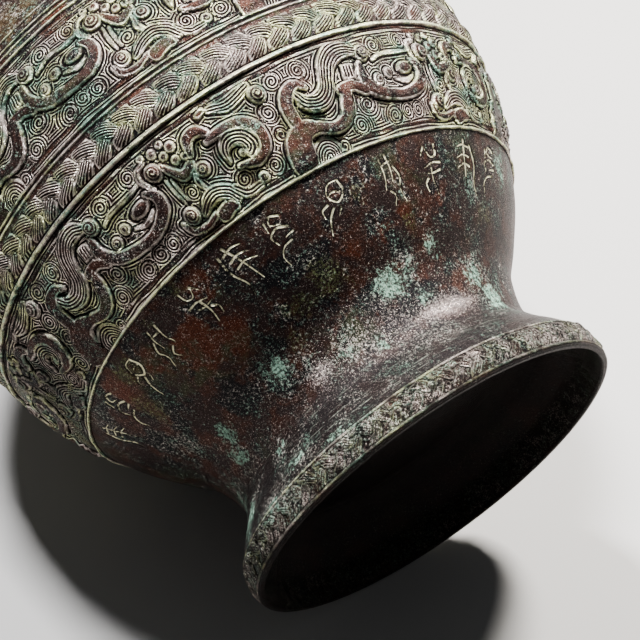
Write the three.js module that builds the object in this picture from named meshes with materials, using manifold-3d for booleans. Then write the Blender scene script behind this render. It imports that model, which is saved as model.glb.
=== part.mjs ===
// A cast bronze hu: a tall round wine vessel on a flared foot ring, hollow and open at the mouth.
// Millimetres, +Z up, origin on the ground at the middle of the foot ring. Angle 0 is at -Y.
// It is one casting. Its bands of curling dragons, its ropes and its lines are raised on the wall.

import * as THREE from 'three';
import { mergeVertices } from 'three/addons/utils/BufferGeometryUtils.js';
import Module from 'manifold-3d';

const wasm = await Module();
wasm.setup();

// Driving dimensions of the vessel
const TOTAL_HEIGHT = 440;
const FOOT_RADIUS = 86;
const FOOT_EDGE_HEIGHT = 10;
const FOOT_WAIST_RADIUS = 71;
const FOOT_WAIST_HEIGHT = 35;
const GIRTH_RADIUS = 128.5;
const GIRTH_HEIGHT = 180;
const NECK_RADIUS = 60;
const NECK_HEIGHT = 356;
const MOUTH_RADIUS = 75;
const WALL = 4.5;
const FOOT_WALL = 5;
const FOOT_LIP = 2.8;
const FLOOR_THICKNESS = 6;
const FLOOR_ROUND = 7;
const FOOT_ROOF_ROUND = 4;

// Raised lines that part the bands, by the height of their middle
const LOWER_LINE_HEIGHT = 96.3;
const LOWER_ROPE_LINE_HEIGHT = 138.6;
const UPPER_ROPE_LINE_HEIGHT = 156.6;
const SHOULDER_LINE_HEIGHT = 206.5;
const NECK_LINE_HEIGHT = 318;
const MOUTH_BAND_HEIGHT = 18;
const MOUTH_BAND_RISE = 1.6;
const FINE_LINE_WIDTH = 2.4;
const FINE_LINE_RISE = 0.9;
const BROAD_LINE_WIDTH = 6.4;
const BROAD_LINE_RISE = 1.2;

// Carving
const UNITS_ROUND = 6;
const ROPE_LEAVES = 72;
const FOOT_LEAVES = 36;
const FOOT_BAND_TOP = 12.5;
const RIBBON_RISE = 1.5;
const KNOB_RISE = 2.2;
const LEAF_RISE = 1.3;
const LEAF_FILL = 0.92;
const LEAF_LEAN = 0.55;
const RIBBON_END_SHARE = 0.6;
const CARVING_ROOT = 1.4;
const BLOCK_WIDTH = 133;
const BLOCK_HEIGHT = 42;
const UPPER_BAND_TURN = 7.2;

// Fineness of the facets
const SIDES = 36;
const KNOB_SIDES = 5;

// Outer wall as [height, radius] stations, joined by one smooth curve
const belly = GIRTH_RADIUS - FOOT_WAIST_RADIUS;
const rise = GIRTH_HEIGHT - FOOT_WAIST_HEIGHT;
const shoulder = GIRTH_RADIUS - NECK_RADIUS;
const slope = NECK_HEIGHT - GIRTH_HEIGHT;
const flare = FOOT_RADIUS - FOOT_WAIST_RADIUS;
const footSlope = FOOT_WAIST_HEIGHT - FOOT_EDGE_HEIGHT;
const lip = MOUTH_RADIUS - NECK_RADIUS;
const stations = [
  [0, FOOT_RADIUS],
  [FOOT_EDGE_HEIGHT, FOOT_RADIUS],
  [FOOT_EDGE_HEIGHT + footSlope * 0.32, FOOT_WAIST_RADIUS + flare * 0.71],
  [FOOT_EDGE_HEIGHT + footSlope * 0.66, FOOT_WAIST_RADIUS + flare * 0.27],
  [FOOT_WAIST_HEIGHT, FOOT_WAIST_RADIUS],
  [FOOT_WAIST_HEIGHT + rise * 0.13, FOOT_WAIST_RADIUS + belly * 0.09],
  [FOOT_WAIST_HEIGHT + rise * 0.235, FOOT_WAIST_RADIUS + belly * 0.3],
  [FOOT_WAIST_HEIGHT + rise * 0.35, FOOT_WAIST_RADIUS + belly * 0.525],
  [FOOT_WAIST_HEIGHT + rise * 0.5, FOOT_WAIST_RADIUS + belly * 0.731],
  [FOOT_WAIST_HEIGHT + rise * 0.65, FOOT_WAIST_RADIUS + belly * 0.882],
  [FOOT_WAIST_HEIGHT + rise * 0.81, FOOT_WAIST_RADIUS + belly * 0.97],
  [GIRTH_HEIGHT, GIRTH_RADIUS],
  [GIRTH_HEIGHT + slope * 0.17, NECK_RADIUS + shoulder * 0.945],
  [GIRTH_HEIGHT + slope * 0.34, NECK_RADIUS + shoulder * 0.77],
  [GIRTH_HEIGHT + slope * 0.52, NECK_RADIUS + shoulder * 0.48],
  [GIRTH_HEIGHT + slope * 0.7, NECK_RADIUS + shoulder * 0.2],
  [GIRTH_HEIGHT + slope * 0.85, NECK_RADIUS + shoulder * 0.05],
  [NECK_HEIGHT, NECK_RADIUS],
  [NECK_HEIGHT + (TOTAL_HEIGHT - NECK_HEIGHT) * 0.4, NECK_RADIUS + lip * 0.16],
  [NECK_HEIGHT + (TOTAL_HEIGHT - NECK_HEIGHT) * 0.74, NECK_RADIUS + lip * 0.52],
  [TOTAL_HEIGHT, MOUTH_RADIUS],
];

// Slopes of a curve through the stations that never overshoots them
function stationSlopes(points) {
  const steps = [];
  for (let i = 0; i + 1 < points.length; i += 1) {
    steps.push((points[i + 1][1] - points[i][1]) / (points[i + 1][0] - points[i][0]));
  }
  const slopes = [steps[0]];
  for (let i = 1; i < steps.length; i += 1) {
    const product = steps[i - 1] * steps[i];
    slopes.push(product > 0 ? (2 * product) / (steps[i - 1] + steps[i]) : 0);
  }
  slopes.push(steps[steps.length - 1]);
  return slopes;
}

const slopes = stationSlopes(stations);

// Radius of the plain wall at a height
function wallRadius(height) {
  let i = 0;
  while (i < stations.length - 2 && height > stations[i + 1][0]) {
    i += 1;
  }
  const [z0, r0] = stations[i];
  const [z1, r1] = stations[i + 1];
  const span = z1 - z0;
  const t = Math.min(Math.max((height - z0) / span, 0), 1);
  const blend = t * t * (3 - 2 * t);
  const start = t * (1 - t) * (1 - t) * span * slopes[i];
  const end = t * t * (t - 1) * span * slopes[i + 1];
  return r0 + (r1 - r0) * blend + start + end;
}

// Unit normal of the wall in its own section, as [outward, upward]
function wallNormal(height) {
  const reach = 0.5;
  const low = Math.max(height - reach, 0);
  const high = Math.min(height + reach, TOTAL_HEIGHT);
  const dr = wallRadius(high) - wallRadius(low);
  const dz = high - low;
  const length = Math.hypot(dr, dz);
  return [dz / length, -dr / length];
}

// A point above the wall: the angle round the vessel, the height of its root and its lift
function onWall(angle, height, lift) {
  const [outward, upward] = wallNormal(height);
  const radius = wallRadius(height) + outward * lift;
  const z = height + upward * lift;
  return new THREE.Vector3(radius * Math.sin(angle), -radius * Math.cos(angle), z);
}

// Height reached by going a length along the wall from a height
function climb(height, length) {
  const step = 1;
  let z = height;
  let left = length;
  while (left > step) {
    z += wallNormal(z)[0] * step;
    left -= step;
  }
  return z + wallNormal(z)[0] * left;
}

// Length along the wall between two heights
function wallLength(low, high) {
  const parts = 64;
  let length = 0;
  for (let i = 0; i < parts; i += 1) {
    const z0 = low + ((high - low) * i) / parts;
    const z1 = low + ((high - low) * (i + 1)) / parts;
    length += Math.hypot(z1 - z0, wallRadius(z1) - wallRadius(z0));
  }
  return length;
}

// A closed body from a geometry whose shared corners are merged
function toSolid(geometry) {
  geometry.deleteAttribute('normal');
  geometry.deleteAttribute('uv');
  const merged = mergeVertices(geometry, 1e-4);
  const index = merged.index.array;
  const triangles = [];
  for (let i = 0; i < index.length; i += 3) {
    const [a, b, c] = [index[i], index[i + 1], index[i + 2]];
    if (a !== b && b !== c && c !== a) {
      triangles.push(a, b, c);
    }
  }
  const mesh = new wasm.Mesh({
    numProp: 3,
    vertProperties: new Float32Array(merged.attributes.position.array),
    triVerts: new Uint32Array(triangles),
  });
  return new wasm.Manifold(mesh);
}

function toGeometry(solid) {
  const mesh = solid.getMesh();
  const geometry = new THREE.BufferGeometry();
  geometry.setAttribute('position', new THREE.BufferAttribute(mesh.vertProperties, 3));
  geometry.setIndex(new THREE.BufferAttribute(mesh.triVerts, 1));
  geometry.computeVertexNormals();
  return geometry;
}

// Rows of a raised line: its two roots and its crown
function lineRows(middle, width, lift) {
  const half = width / 2;
  return [[middle - half, 0], [middle, lift], [middle + half, 0]];
}

// The closed section: floor, inside of the foot, outside wall with its lines, lip and inside wall
function vesselSection() {
  const plain = stations.map(([height]) => [height, 0]);
  const lines = [
    lineRows(LOWER_LINE_HEIGHT, FINE_LINE_WIDTH, FINE_LINE_RISE),
    lineRows(LOWER_ROPE_LINE_HEIGHT, BROAD_LINE_WIDTH, BROAD_LINE_RISE),
    lineRows(UPPER_ROPE_LINE_HEIGHT, BROAD_LINE_WIDTH, BROAD_LINE_RISE),
    lineRows(SHOULDER_LINE_HEIGHT, BROAD_LINE_WIDTH, BROAD_LINE_RISE),
    lineRows(NECK_LINE_HEIGHT, BROAD_LINE_WIDTH, BROAD_LINE_RISE),
  ];
  const bandLow = TOTAL_HEIGHT - MOUTH_BAND_HEIGHT;
  lines.push([[bandLow, 0], [bandLow + MOUTH_BAND_RISE, MOUTH_BAND_RISE]]);
  const clear = 3;
  const taken = (height) => lines.some((rows) => {
    return height > rows[0][0] - clear && height < rows[rows.length - 1][0] + clear;
  });
  const outer = plain.filter(([height]) => !taken(height));
  outer.push(...lines.flat());
  outer.sort((a, b) => a[0] - b[0]);
  const points = [];
  const footRoof = FOOT_WAIST_HEIGHT - FLOOR_THICKNESS / 2;
  const floorTop = footRoof + FLOOR_THICKNESS;
  const steepest = 0.6;
  const inside = (height, wall) => wallRadius(height) - wall / Math.max(wallNormal(height)[0], steepest);
  const footInside = footRoof - FOOT_ROOF_ROUND;
  const edgeWall = FOOT_LIP + ((FOOT_WALL - FOOT_LIP) * FOOT_EDGE_HEIGHT) / footInside;
  points.push([0, footRoof]);
  points.push([inside(footRoof, FOOT_WALL) - FOOT_ROOF_ROUND, footRoof]);
  points.push([inside(footInside, FOOT_WALL), footInside]);
  points.push([inside(FOOT_EDGE_HEIGHT, edgeWall), FOOT_EDGE_HEIGHT]);
  points.push([FOOT_RADIUS - FOOT_LIP, 0]);
  for (const [height, lift] of outer) {
    const mouthLift = height > bandLow + MOUTH_BAND_RISE ? MOUTH_BAND_RISE : lift;
    const [outward, upward] = height === 0 || height === TOTAL_HEIGHT ? [1, 0] : wallNormal(height);
    points.push([wallRadius(height) + outward * mouthLift, height + upward * mouthLift]);
  }
  const innerHeights = stations.map(([height]) => height).filter((height) => height > floorTop + FLOOR_ROUND);
  for (const height of innerHeights.reverse()) {
    points.push([inside(height, WALL), height]);
  }
  points.push([inside(floorTop + FLOOR_ROUND, WALL), floorTop + FLOOR_ROUND]);
  points.push([inside(floorTop, WALL) - FLOOR_ROUND, floorTop]);
  points.push([0, floorTop]);
  return points.map(([radius, height]) => new THREE.Vector2(radius, height));
}

// A geometry of width, length and height laid on the wall, where `place` maps the block's plane
function carve(geometry, place) {
  const position = geometry.attributes.position;
  for (let i = 0; i < position.count; i += 1) {
    const point = place(position.getX(i), position.getY(i), position.getZ(i));
    position.setXYZ(i, point.x, point.y, point.z);
  }
  return toSolid(geometry);
}

// A ribbon with a crown along its middle, which follows a curve of the block
function ribbon({ path, width, steps }, lift, place) {
  const curve = new THREE.SplineCurve(path.map(([x, y]) => new THREE.Vector2(x, y)));
  const corners = 3;
  const sectionHeight = 1.5;
  const geometry = new THREE.CylinderGeometry(1, 1, 1, corners, steps);
  const rootHalf = ((width / 2) * (lift + CARVING_ROOT)) / lift;
  return carve(geometry, (across, along, up) => {
    const share = Math.min(Math.max(along + 0.5, 0), 1);
    const point = curve.getPoint(share);
    const tangent = curve.getTangent(share);
    const taper = share === 0 || share === 1 ? RIBBON_END_SHARE : 1;
    const offset = (across / Math.sin(Math.PI / corners)) * rootHalf * taper;
    const crown = (up + sectionHeight / 3) / sectionHeight;
    const height = -CARVING_ROOT + crown * (lift + CARVING_ROOT) * taper;
    return place(point.x + tangent.y * offset, point.y - tangent.x * offset, height);
  });
}

// A pointed round knob
function knob({ at, radius }, lift, place) {
  const geometry = new THREE.ConeGeometry(1, 1, KNOB_SIDES, 1);
  geometry.rotateX(Math.PI / 2);
  const rootRadius = (radius * (lift + CARVING_ROOT)) / lift;
  return carve(geometry, (x, y, up) => {
    const height = -CARVING_ROOT + (up + 0.5) * (lift + CARVING_ROOT);
    return place(at[0] + x * rootRadius, at[1] + y * rootRadius, height);
  });
}

// One pattern block of the dragon band, in millimetres on the block, from its lower left corner
const dragonRibbons = [
  { path: [[-3, 24], [0, 31], [5, 37], [12, 38.5], [18, 36.5], [18.5, 33]], width: 6, steps: 4 },
  { path: [[13, 29], [13.5, 20], [19, 14.5], [30, 13.5], [42, 15], [47, 22]], width: 5, steps: 4 },
  { path: [[57, 9], [64, 12.5], [73, 6]], width: 7, steps: 2 },
  { path: [[71, 31], [80, 31], [93, 30], [95, 21], [90, 13], [81, 16]], width: 5, steps: 4 },
  { path: [[103, 5], [108, 13], [124, 11]], width: 8, steps: 2 },
  { path: [[114, 27], [115, 20], [122, 17.5], [129, 21]], width: 5.5, steps: 2 },
];
const dragonKnobs = [
  { at: [50, 31.5], radius: 4.6 },
  { at: [52, 10], radius: 4 },
  { at: [100, 35], radius: 4.4 },
];

// One dragon band between two heights
function dragonBand(low, high, turn) {
  const length = wallLength(low, high);
  const solids = [];
  for (let unit = 0; unit < UNITS_ROUND; unit += 1) {
    const start = turn + (unit * 2 * Math.PI) / UNITS_ROUND;
    const place = (x, y, lift) => {
      const angle = start + ((x / BLOCK_WIDTH) * 2 * Math.PI) / UNITS_ROUND;
      return onWall(angle, climb(low, (y / BLOCK_HEIGHT) * length), lift);
    };
    for (const form of dragonRibbons) {
      solids.push(ribbon(form, RIBBON_RISE, place));
    }
    for (const form of dragonKnobs) {
      solids.push(knob(form, KNOB_RISE, place));
    }
  }
  return solids;
}

// A ring of slanting leaves, as on a twisted rope, between two heights
function leafRing(low, high, count) {
  const length = wallLength(low, high);
  const solids = [];
  for (let i = 0; i < count; i += 1) {
    const middle = (2 * Math.PI * (i + 0.5)) / count;
    const halfAngle = (Math.PI / count) * LEAF_FILL;
    const geometry = new THREE.ConeGeometry(1, 1, 4, 1);
    geometry.rotateX(Math.PI / 2);
    solids.push(carve(geometry, (across, along, up) => {
      const angle = middle + halfAngle * (across + along * LEAF_LEAN);
      const height = climb(low, length * (0.5 + along * 0.5 * LEAF_FILL));
      return onWall(angle, height, up > 0 ? LEAF_RISE : -CARVING_ROOT);
    }));
  }
  return solids;
}

function makeVessel() {
  const lathe = new THREE.LatheGeometry(vesselSection(), SIDES);
  lathe.rotateX(Math.PI / 2);
  const halfBroad = BROAD_LINE_WIDTH / 2;
  const lowerBandLow = LOWER_LINE_HEIGHT + FINE_LINE_WIDTH / 2;
  const lowerBandHigh = LOWER_ROPE_LINE_HEIGHT - halfBroad;
  const upperBandLow = UPPER_ROPE_LINE_HEIGHT + halfBroad;
  const upperBandHigh = SHOULDER_LINE_HEIGHT - halfBroad;
  const unitTurn = (2 * Math.PI) / UNITS_ROUND;
  const lowerTurn = -unitTurn * 0.511;
  const solids = [
    ...dragonBand(lowerBandLow, lowerBandHigh, lowerTurn),
    ...dragonBand(upperBandLow, upperBandHigh, lowerTurn + THREE.MathUtils.degToRad(UPPER_BAND_TURN)),
    ...leafRing(LOWER_ROPE_LINE_HEIGHT + halfBroad, UPPER_ROPE_LINE_HEIGHT - halfBroad, ROPE_LEAVES),
    ...leafRing(1, FOOT_BAND_TOP, FOOT_LEAVES),
  ];
  let vessel = toSolid(lathe);
  for (const solid of solids) {
    vessel = vessel.add(solid);
  }
  return vessel;
}

const bronze = new THREE.MeshStandardMaterial({ color: 0x4a3a33, roughness: 0.55, metalness: 0.6 });
const vessel = new THREE.Mesh(toGeometry(makeVessel()), bronze);
vessel.name = 'vessel';

const group = new THREE.Group();
group.add(vessel);

export default group;
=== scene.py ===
"""A cast bronze hu vessel, dressed for a studio picture.

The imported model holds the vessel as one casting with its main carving. This script replaces it with one fine
casting of the same wall: curling dragons, a plaited rope, raised lines and an inscribed zone, under an old patina.
Lengths are millimetres until a mesh is made. Angle 0 is at -Y and grows towards +X, and a place on the wall is
given by its angle, as a girth length on the widest circle, and by its height or its length along the wall.
"""

import logging
import math
from dataclasses import dataclass, field
from enum import Enum

import bpy
import numpy as np
from mathutils import Matrix, Vector


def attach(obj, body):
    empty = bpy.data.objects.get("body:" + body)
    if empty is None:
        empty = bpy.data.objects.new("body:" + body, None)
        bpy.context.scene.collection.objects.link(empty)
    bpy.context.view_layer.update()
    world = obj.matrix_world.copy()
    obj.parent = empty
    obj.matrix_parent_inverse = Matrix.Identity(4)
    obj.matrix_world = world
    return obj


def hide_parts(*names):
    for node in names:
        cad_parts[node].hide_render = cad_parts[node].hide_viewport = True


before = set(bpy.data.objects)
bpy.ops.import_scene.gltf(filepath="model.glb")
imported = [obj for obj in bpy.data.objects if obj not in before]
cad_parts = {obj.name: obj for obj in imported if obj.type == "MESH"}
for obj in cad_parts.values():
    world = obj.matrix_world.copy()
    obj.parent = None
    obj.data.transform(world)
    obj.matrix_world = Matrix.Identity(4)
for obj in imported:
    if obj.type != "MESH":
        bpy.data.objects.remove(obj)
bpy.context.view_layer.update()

log = logging.getLogger("hu_vessel")

METRE = 0.001
GIRTH = 127.0
FAR_OUTSIDE = -9.0
Point = tuple[float, float]
Colour = tuple[float, float, float, float]
Socket = bpy.types.NodeSocket


class Surface(Enum):
    """How the top of a carved form is finished."""

    PLAIN = "plain"
    STRIPED = "striped"
    RINGED = "ringed"
    SPIRAL = "spiral"


def smooth_step(low: float, high: float, value: np.ndarray) -> np.ndarray:
    """Returns a smooth 0 to 1 rise of value between low and high."""
    share = np.clip((value - low) / (high - low), 0.0, 1.0)
    return share * share * (3.0 - 2.0 * share)


def rounded(share: np.ndarray) -> np.ndarray:
    """Returns a quarter-round rise for shares 0 to 1."""
    inner = 1.0 - np.clip(share, 0.0, 1.0)
    return np.sqrt(np.maximum(1.0 - inner * inner, 0.0))


def smooth_path(points: tuple[Point, ...], per_span: int = 5) -> np.ndarray:
    """Draws a smooth curve through a few points.

    Args:
        points: The places that the curve passes through.
        per_span: The steps between two of them.

    Returns:
        The curve's points, one row each.
    """
    knots = np.array(points, dtype=float)
    padded = np.vstack([2 * knots[0] - knots[1], knots, 2 * knots[-1] - knots[-2]])
    rows = []
    for before, start, end, after in zip(padded, padded[1:], padded[2:], padded[3:]):
        for t in np.arange(per_span) / per_span:
            rows.append(0.5 * (2 * start + (end - before) * t
                               + (2 * before - 5 * start + 4 * end - after) * t ** 2
                               + (3 * start - before - 3 * end + after) * t ** 3))
    rows.append(knots[-1])
    return np.array(rows)


@dataclass
class Wall:
    """The vessel's plain wall, turned about the upright axis."""

    total_height: float = 440.0
    foot_radius: float = 86.0
    foot_edge_height: float = 10.0
    waist_radius: float = 71.0
    waist_height: float = 35.0
    girth_radius: float = 128.5
    girth_height: float = 180.0
    neck_radius: float = 60.0
    neck_height: float = 356.0
    mouth_radius: float = 75.0
    thickness: float = 4.5
    foot_thickness: float = 5.0
    foot_lip: float = 2.8
    floor_thickness: float = 6.0
    stations: np.ndarray = field(init=False)
    slopes: np.ndarray = field(init=False)
    lengths: np.ndarray = field(init=False)
    length_heights: np.ndarray = field(init=False)

    def __post_init__(self) -> None:
        """Lays out the stations that the wall's curve passes through."""
        belly = self.girth_radius - self.waist_radius
        rise = self.girth_height - self.waist_height
        shoulder = self.girth_radius - self.neck_radius
        slope = self.neck_height - self.girth_height
        flare = self.foot_radius - self.waist_radius
        foot_slope = self.waist_height - self.foot_edge_height
        lip = self.mouth_radius - self.neck_radius
        top = self.total_height - self.neck_height
        rows = [(0.0, self.foot_radius), (self.foot_edge_height, self.foot_radius)]
        rows += [(self.foot_edge_height + foot_slope * up, self.waist_radius + flare * out)
                 for up, out in ((0.32, 0.71), (0.66, 0.27), (1.0, 0.0))]
        rows += [(self.waist_height + rise * up, self.waist_radius + belly * out)
                 for up, out in ((0.13, 0.09), (0.235, 0.3), (0.35, 0.525), (0.5, 0.731), (0.65, 0.882),
                                 (0.81, 0.97), (1.0, 1.0))]
        rows += [(self.girth_height + slope * up, self.neck_radius + shoulder * out)
                 for up, out in ((0.17, 0.945), (0.34, 0.77), (0.52, 0.48), (0.7, 0.2), (0.85, 0.05), (1.0, 0.0))]
        rows += [(self.neck_height + top * up, self.neck_radius + lip * out)
                 for up, out in ((0.4, 0.16), (0.74, 0.52), (1.0, 1.0))]
        self.stations = np.array(rows)
        steps = np.diff(self.stations[:, 1]) / np.diff(self.stations[:, 0])
        product = steps[:-1] * steps[1:]
        total = np.where(np.abs(steps[:-1] + steps[1:]) < 1e-9, 1.0, steps[:-1] + steps[1:])
        inner = np.where(product > 0, 2 * product / total, 0.0)
        self.slopes = np.concatenate([steps[:1], inner, steps[-1:]])
        heights = np.linspace(0.0, self.total_height, 4401)
        radii = self.radius(heights)
        travel = np.hypot(np.diff(heights), np.diff(radii))
        self.length_heights = heights
        self.lengths = np.concatenate([[0.0], np.cumsum(travel)])

    def radius(self, height: np.ndarray) -> np.ndarray:
        """Follows the smooth curve through the stations.

        Args:
            height: Heights over the ground.

        Returns:
            The wall's outer radius at each height.
        """
        low, out = self.stations[:, 0], self.stations[:, 1]
        i = np.clip(np.searchsorted(low, height, side="right") - 1, 0, len(low) - 2)
        span = low[i + 1] - low[i]
        t = np.clip((height - low[i]) / span, 0.0, 1.0)
        blend = t * t * (3 - 2 * t)
        start = t * (1 - t) ** 2 * span * self.slopes[i]
        end = t * t * (t - 1) * span * self.slopes[i + 1]
        return out[i] + (out[i + 1] - out[i]) * blend + start + end

    def normal(self, height: np.ndarray) -> tuple[np.ndarray, np.ndarray]:
        """Finds which way the wall faces.

        Args:
            height: Heights over the ground.

        Returns:
            The outward and the upward parts of the wall's unit normal.
        """
        reach = 0.5
        low = np.maximum(height - reach, 0.0)
        high = np.minimum(height + reach, self.total_height)
        out = self.radius(high) - self.radius(low)
        up = high - low
        size = np.hypot(out, up)
        return up / size, -out / size

    def length_at(self, height: np.ndarray) -> np.ndarray:
        """Returns the length along the wall from the foot's edge to each height."""
        return np.interp(height, self.length_heights, self.lengths)

    def height_at(self, length: np.ndarray) -> np.ndarray:
        """Returns the height reached at each length along the wall."""
        return np.interp(length, self.lengths, self.length_heights)

    def inside(self, height: np.ndarray, thickness: float) -> np.ndarray:
        """Returns the inner radius under each height of the wall."""
        steepest = 0.6
        return self.radius(height) - thickness / np.maximum(self.normal(height)[0], steepest)


@dataclass(frozen=True)
class Form:
    """A carved form on a flat field, in millimetres of that field."""

    surface: Surface = Surface.PLAIN
    rise: float = 1.5
    shoulder: float = 1.1
    gain: float = 1.0

    def fields(self, x: np.ndarray, y: np.ndarray) -> tuple[np.ndarray, np.ndarray]:
        """Measures points against the form.

        Args:
            x: Places along the field.
            y: Places across the field.

        Returns:
            How far each point lies inside the form's edge, and its place across the form's stripes.
        """
        raise NotImplementedError

    def centre(self) -> float:
        """Returns the middle of the form along the field."""
        raise NotImplementedError

    def lift(self, side: np.ndarray) -> np.ndarray:
        """Returns how high the form stands where points lie that far inside its edge, with a slightly hollow top."""
        hollow = 0.2 * smooth_step(self.shoulder, 2.2 * self.shoulder, side)
        return self.rise * (rounded(side / self.shoulder) - hollow)


@dataclass(frozen=True)
class Ribbon(Form):
    """A band of changing width along a smooth curve."""

    path: tuple[Point, ...] = ()
    widths: tuple[float, ...] = (5.0,)

    def centre(self) -> float:
        """Returns the middle of the form along the field."""
        return sum(x for x, _ in self.path) / len(self.path)

    def fields(self, x: np.ndarray, y: np.ndarray) -> tuple[np.ndarray, np.ndarray]:
        """Measures points against the ribbon: see Form.fields."""
        curve = smooth_path(self.path)
        shares = np.linspace(0.0, 1.0, len(curve))
        halves = np.interp(shares, np.linspace(0.0, 1.0, len(self.widths)), self.widths) / 2.0
        best = np.full(x.shape, -1e9)
        across = np.zeros(x.shape)
        for (ax, ay), (bx, by), half_a, half_b in zip(curve, curve[1:], halves, halves[1:]):
            dx, dy = bx - ax, by - ay
            size = math.hypot(dx, dy)
            t = np.clip(((x - ax) * dx + (y - ay) * dy) / size ** 2, 0.0, 1.0)
            off_x = x - ax - t * dx
            off_y = y - ay - t * dy
            side = half_a + (half_b - half_a) * t - np.hypot(off_x, off_y)
            nearer = side > best
            best = np.where(nearer, side, best)
            across = np.where(nearer, (dx * off_y - dy * off_x) / size, across)
        return best, across


@dataclass(frozen=True)
class Placed(Form):
    """A form that has one middle and may lean."""

    at: Point = (0.0, 0.0)
    lean: float = 0.0

    def centre(self) -> float:
        """Returns the middle of the form along the field."""
        return self.at[0]

    def own(self, x: np.ndarray, y: np.ndarray) -> tuple[np.ndarray, np.ndarray]:
        """Returns points as the leaning form sees them from its middle: along it and across it."""
        cos, sin = math.cos(self.lean), math.sin(self.lean)
        return (x - self.at[0]) * cos + (y - self.at[1]) * sin, (y - self.at[1]) * cos - (x - self.at[0]) * sin


@dataclass(frozen=True)
class Boss(Placed):
    """A round form: a knob, a ring, a coil or a nest of circles."""

    radius: float = 3.5
    stretch: float = 1.0
    turn: float = 1.0

    def fields(self, x: np.ndarray, y: np.ndarray) -> tuple[np.ndarray, np.ndarray]:
        """Measures points against the boss: see Form.fields."""
        distance = np.hypot((x - self.at[0]) / self.stretch, y - self.at[1])
        return self.radius - distance, distance

    def angle(self, x: np.ndarray, y: np.ndarray) -> np.ndarray:
        """Returns the direction of points from the middle, in turns."""
        return self.turn * np.arctan2(y - self.at[1], (x - self.at[0]) / self.stretch) / math.tau

    def lift(self, side: np.ndarray) -> np.ndarray:
        """Returns a domed height."""
        return self.rise * rounded(side / max(self.radius, 0.1))


@dataclass(frozen=True)
class Leaf(Placed):
    """A leaf of a plait: a leaning oval with bowed lines along it."""

    half_length: float = 5.8
    half_width: float = 2.6
    bow: float = 1.5

    def fields(self, x: np.ndarray, y: np.ndarray) -> tuple[np.ndarray, np.ndarray]:
        """Measures points against the leaf: see Form.fields."""
        u, v = self.own(x, y)
        u = u / self.half_length
        bowed = v + self.bow * (u * u - 0.35)
        side = self.half_width * (1.0 - np.sqrt(u * u + (bowed / self.half_width) ** 2))
        return side, bowed

    def lift(self, side: np.ndarray) -> np.ndarray:
        """Returns a domed height."""
        return self.rise * rounded(side / self.half_width)


@dataclass(frozen=True)
class Tablet(Placed):
    """A small turned rectangle."""

    size: Point = (5.0, 7.0)

    def fields(self, x: np.ndarray, y: np.ndarray) -> tuple[np.ndarray, np.ndarray]:
        """Measures points against the tablet: see Form.fields."""
        u, v = self.own(x, y)
        return np.minimum(self.size[0] / 2 - np.abs(u), self.size[1] / 2 - np.abs(v)), u


@dataclass(frozen=True)
class Border(Form):
    """A straight line that runs the whole way round."""

    at_y: float = 0.0
    width: float = 1.0

    def centre(self) -> float:
        """Returns 0, because the line has no middle."""
        return 0.0

    def fields(self, x: np.ndarray, y: np.ndarray) -> tuple[np.ndarray, np.ndarray]:
        """Measures points against the line: see Form.fields."""
        return self.width / 2 - np.abs(y - self.at_y), y - self.at_y


@dataclass
class Relief:
    """What a band says of points on it, each an array of one number a point."""

    lift: np.ndarray
    side: np.ndarray
    phase: np.ndarray
    gain: np.ndarray


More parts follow.
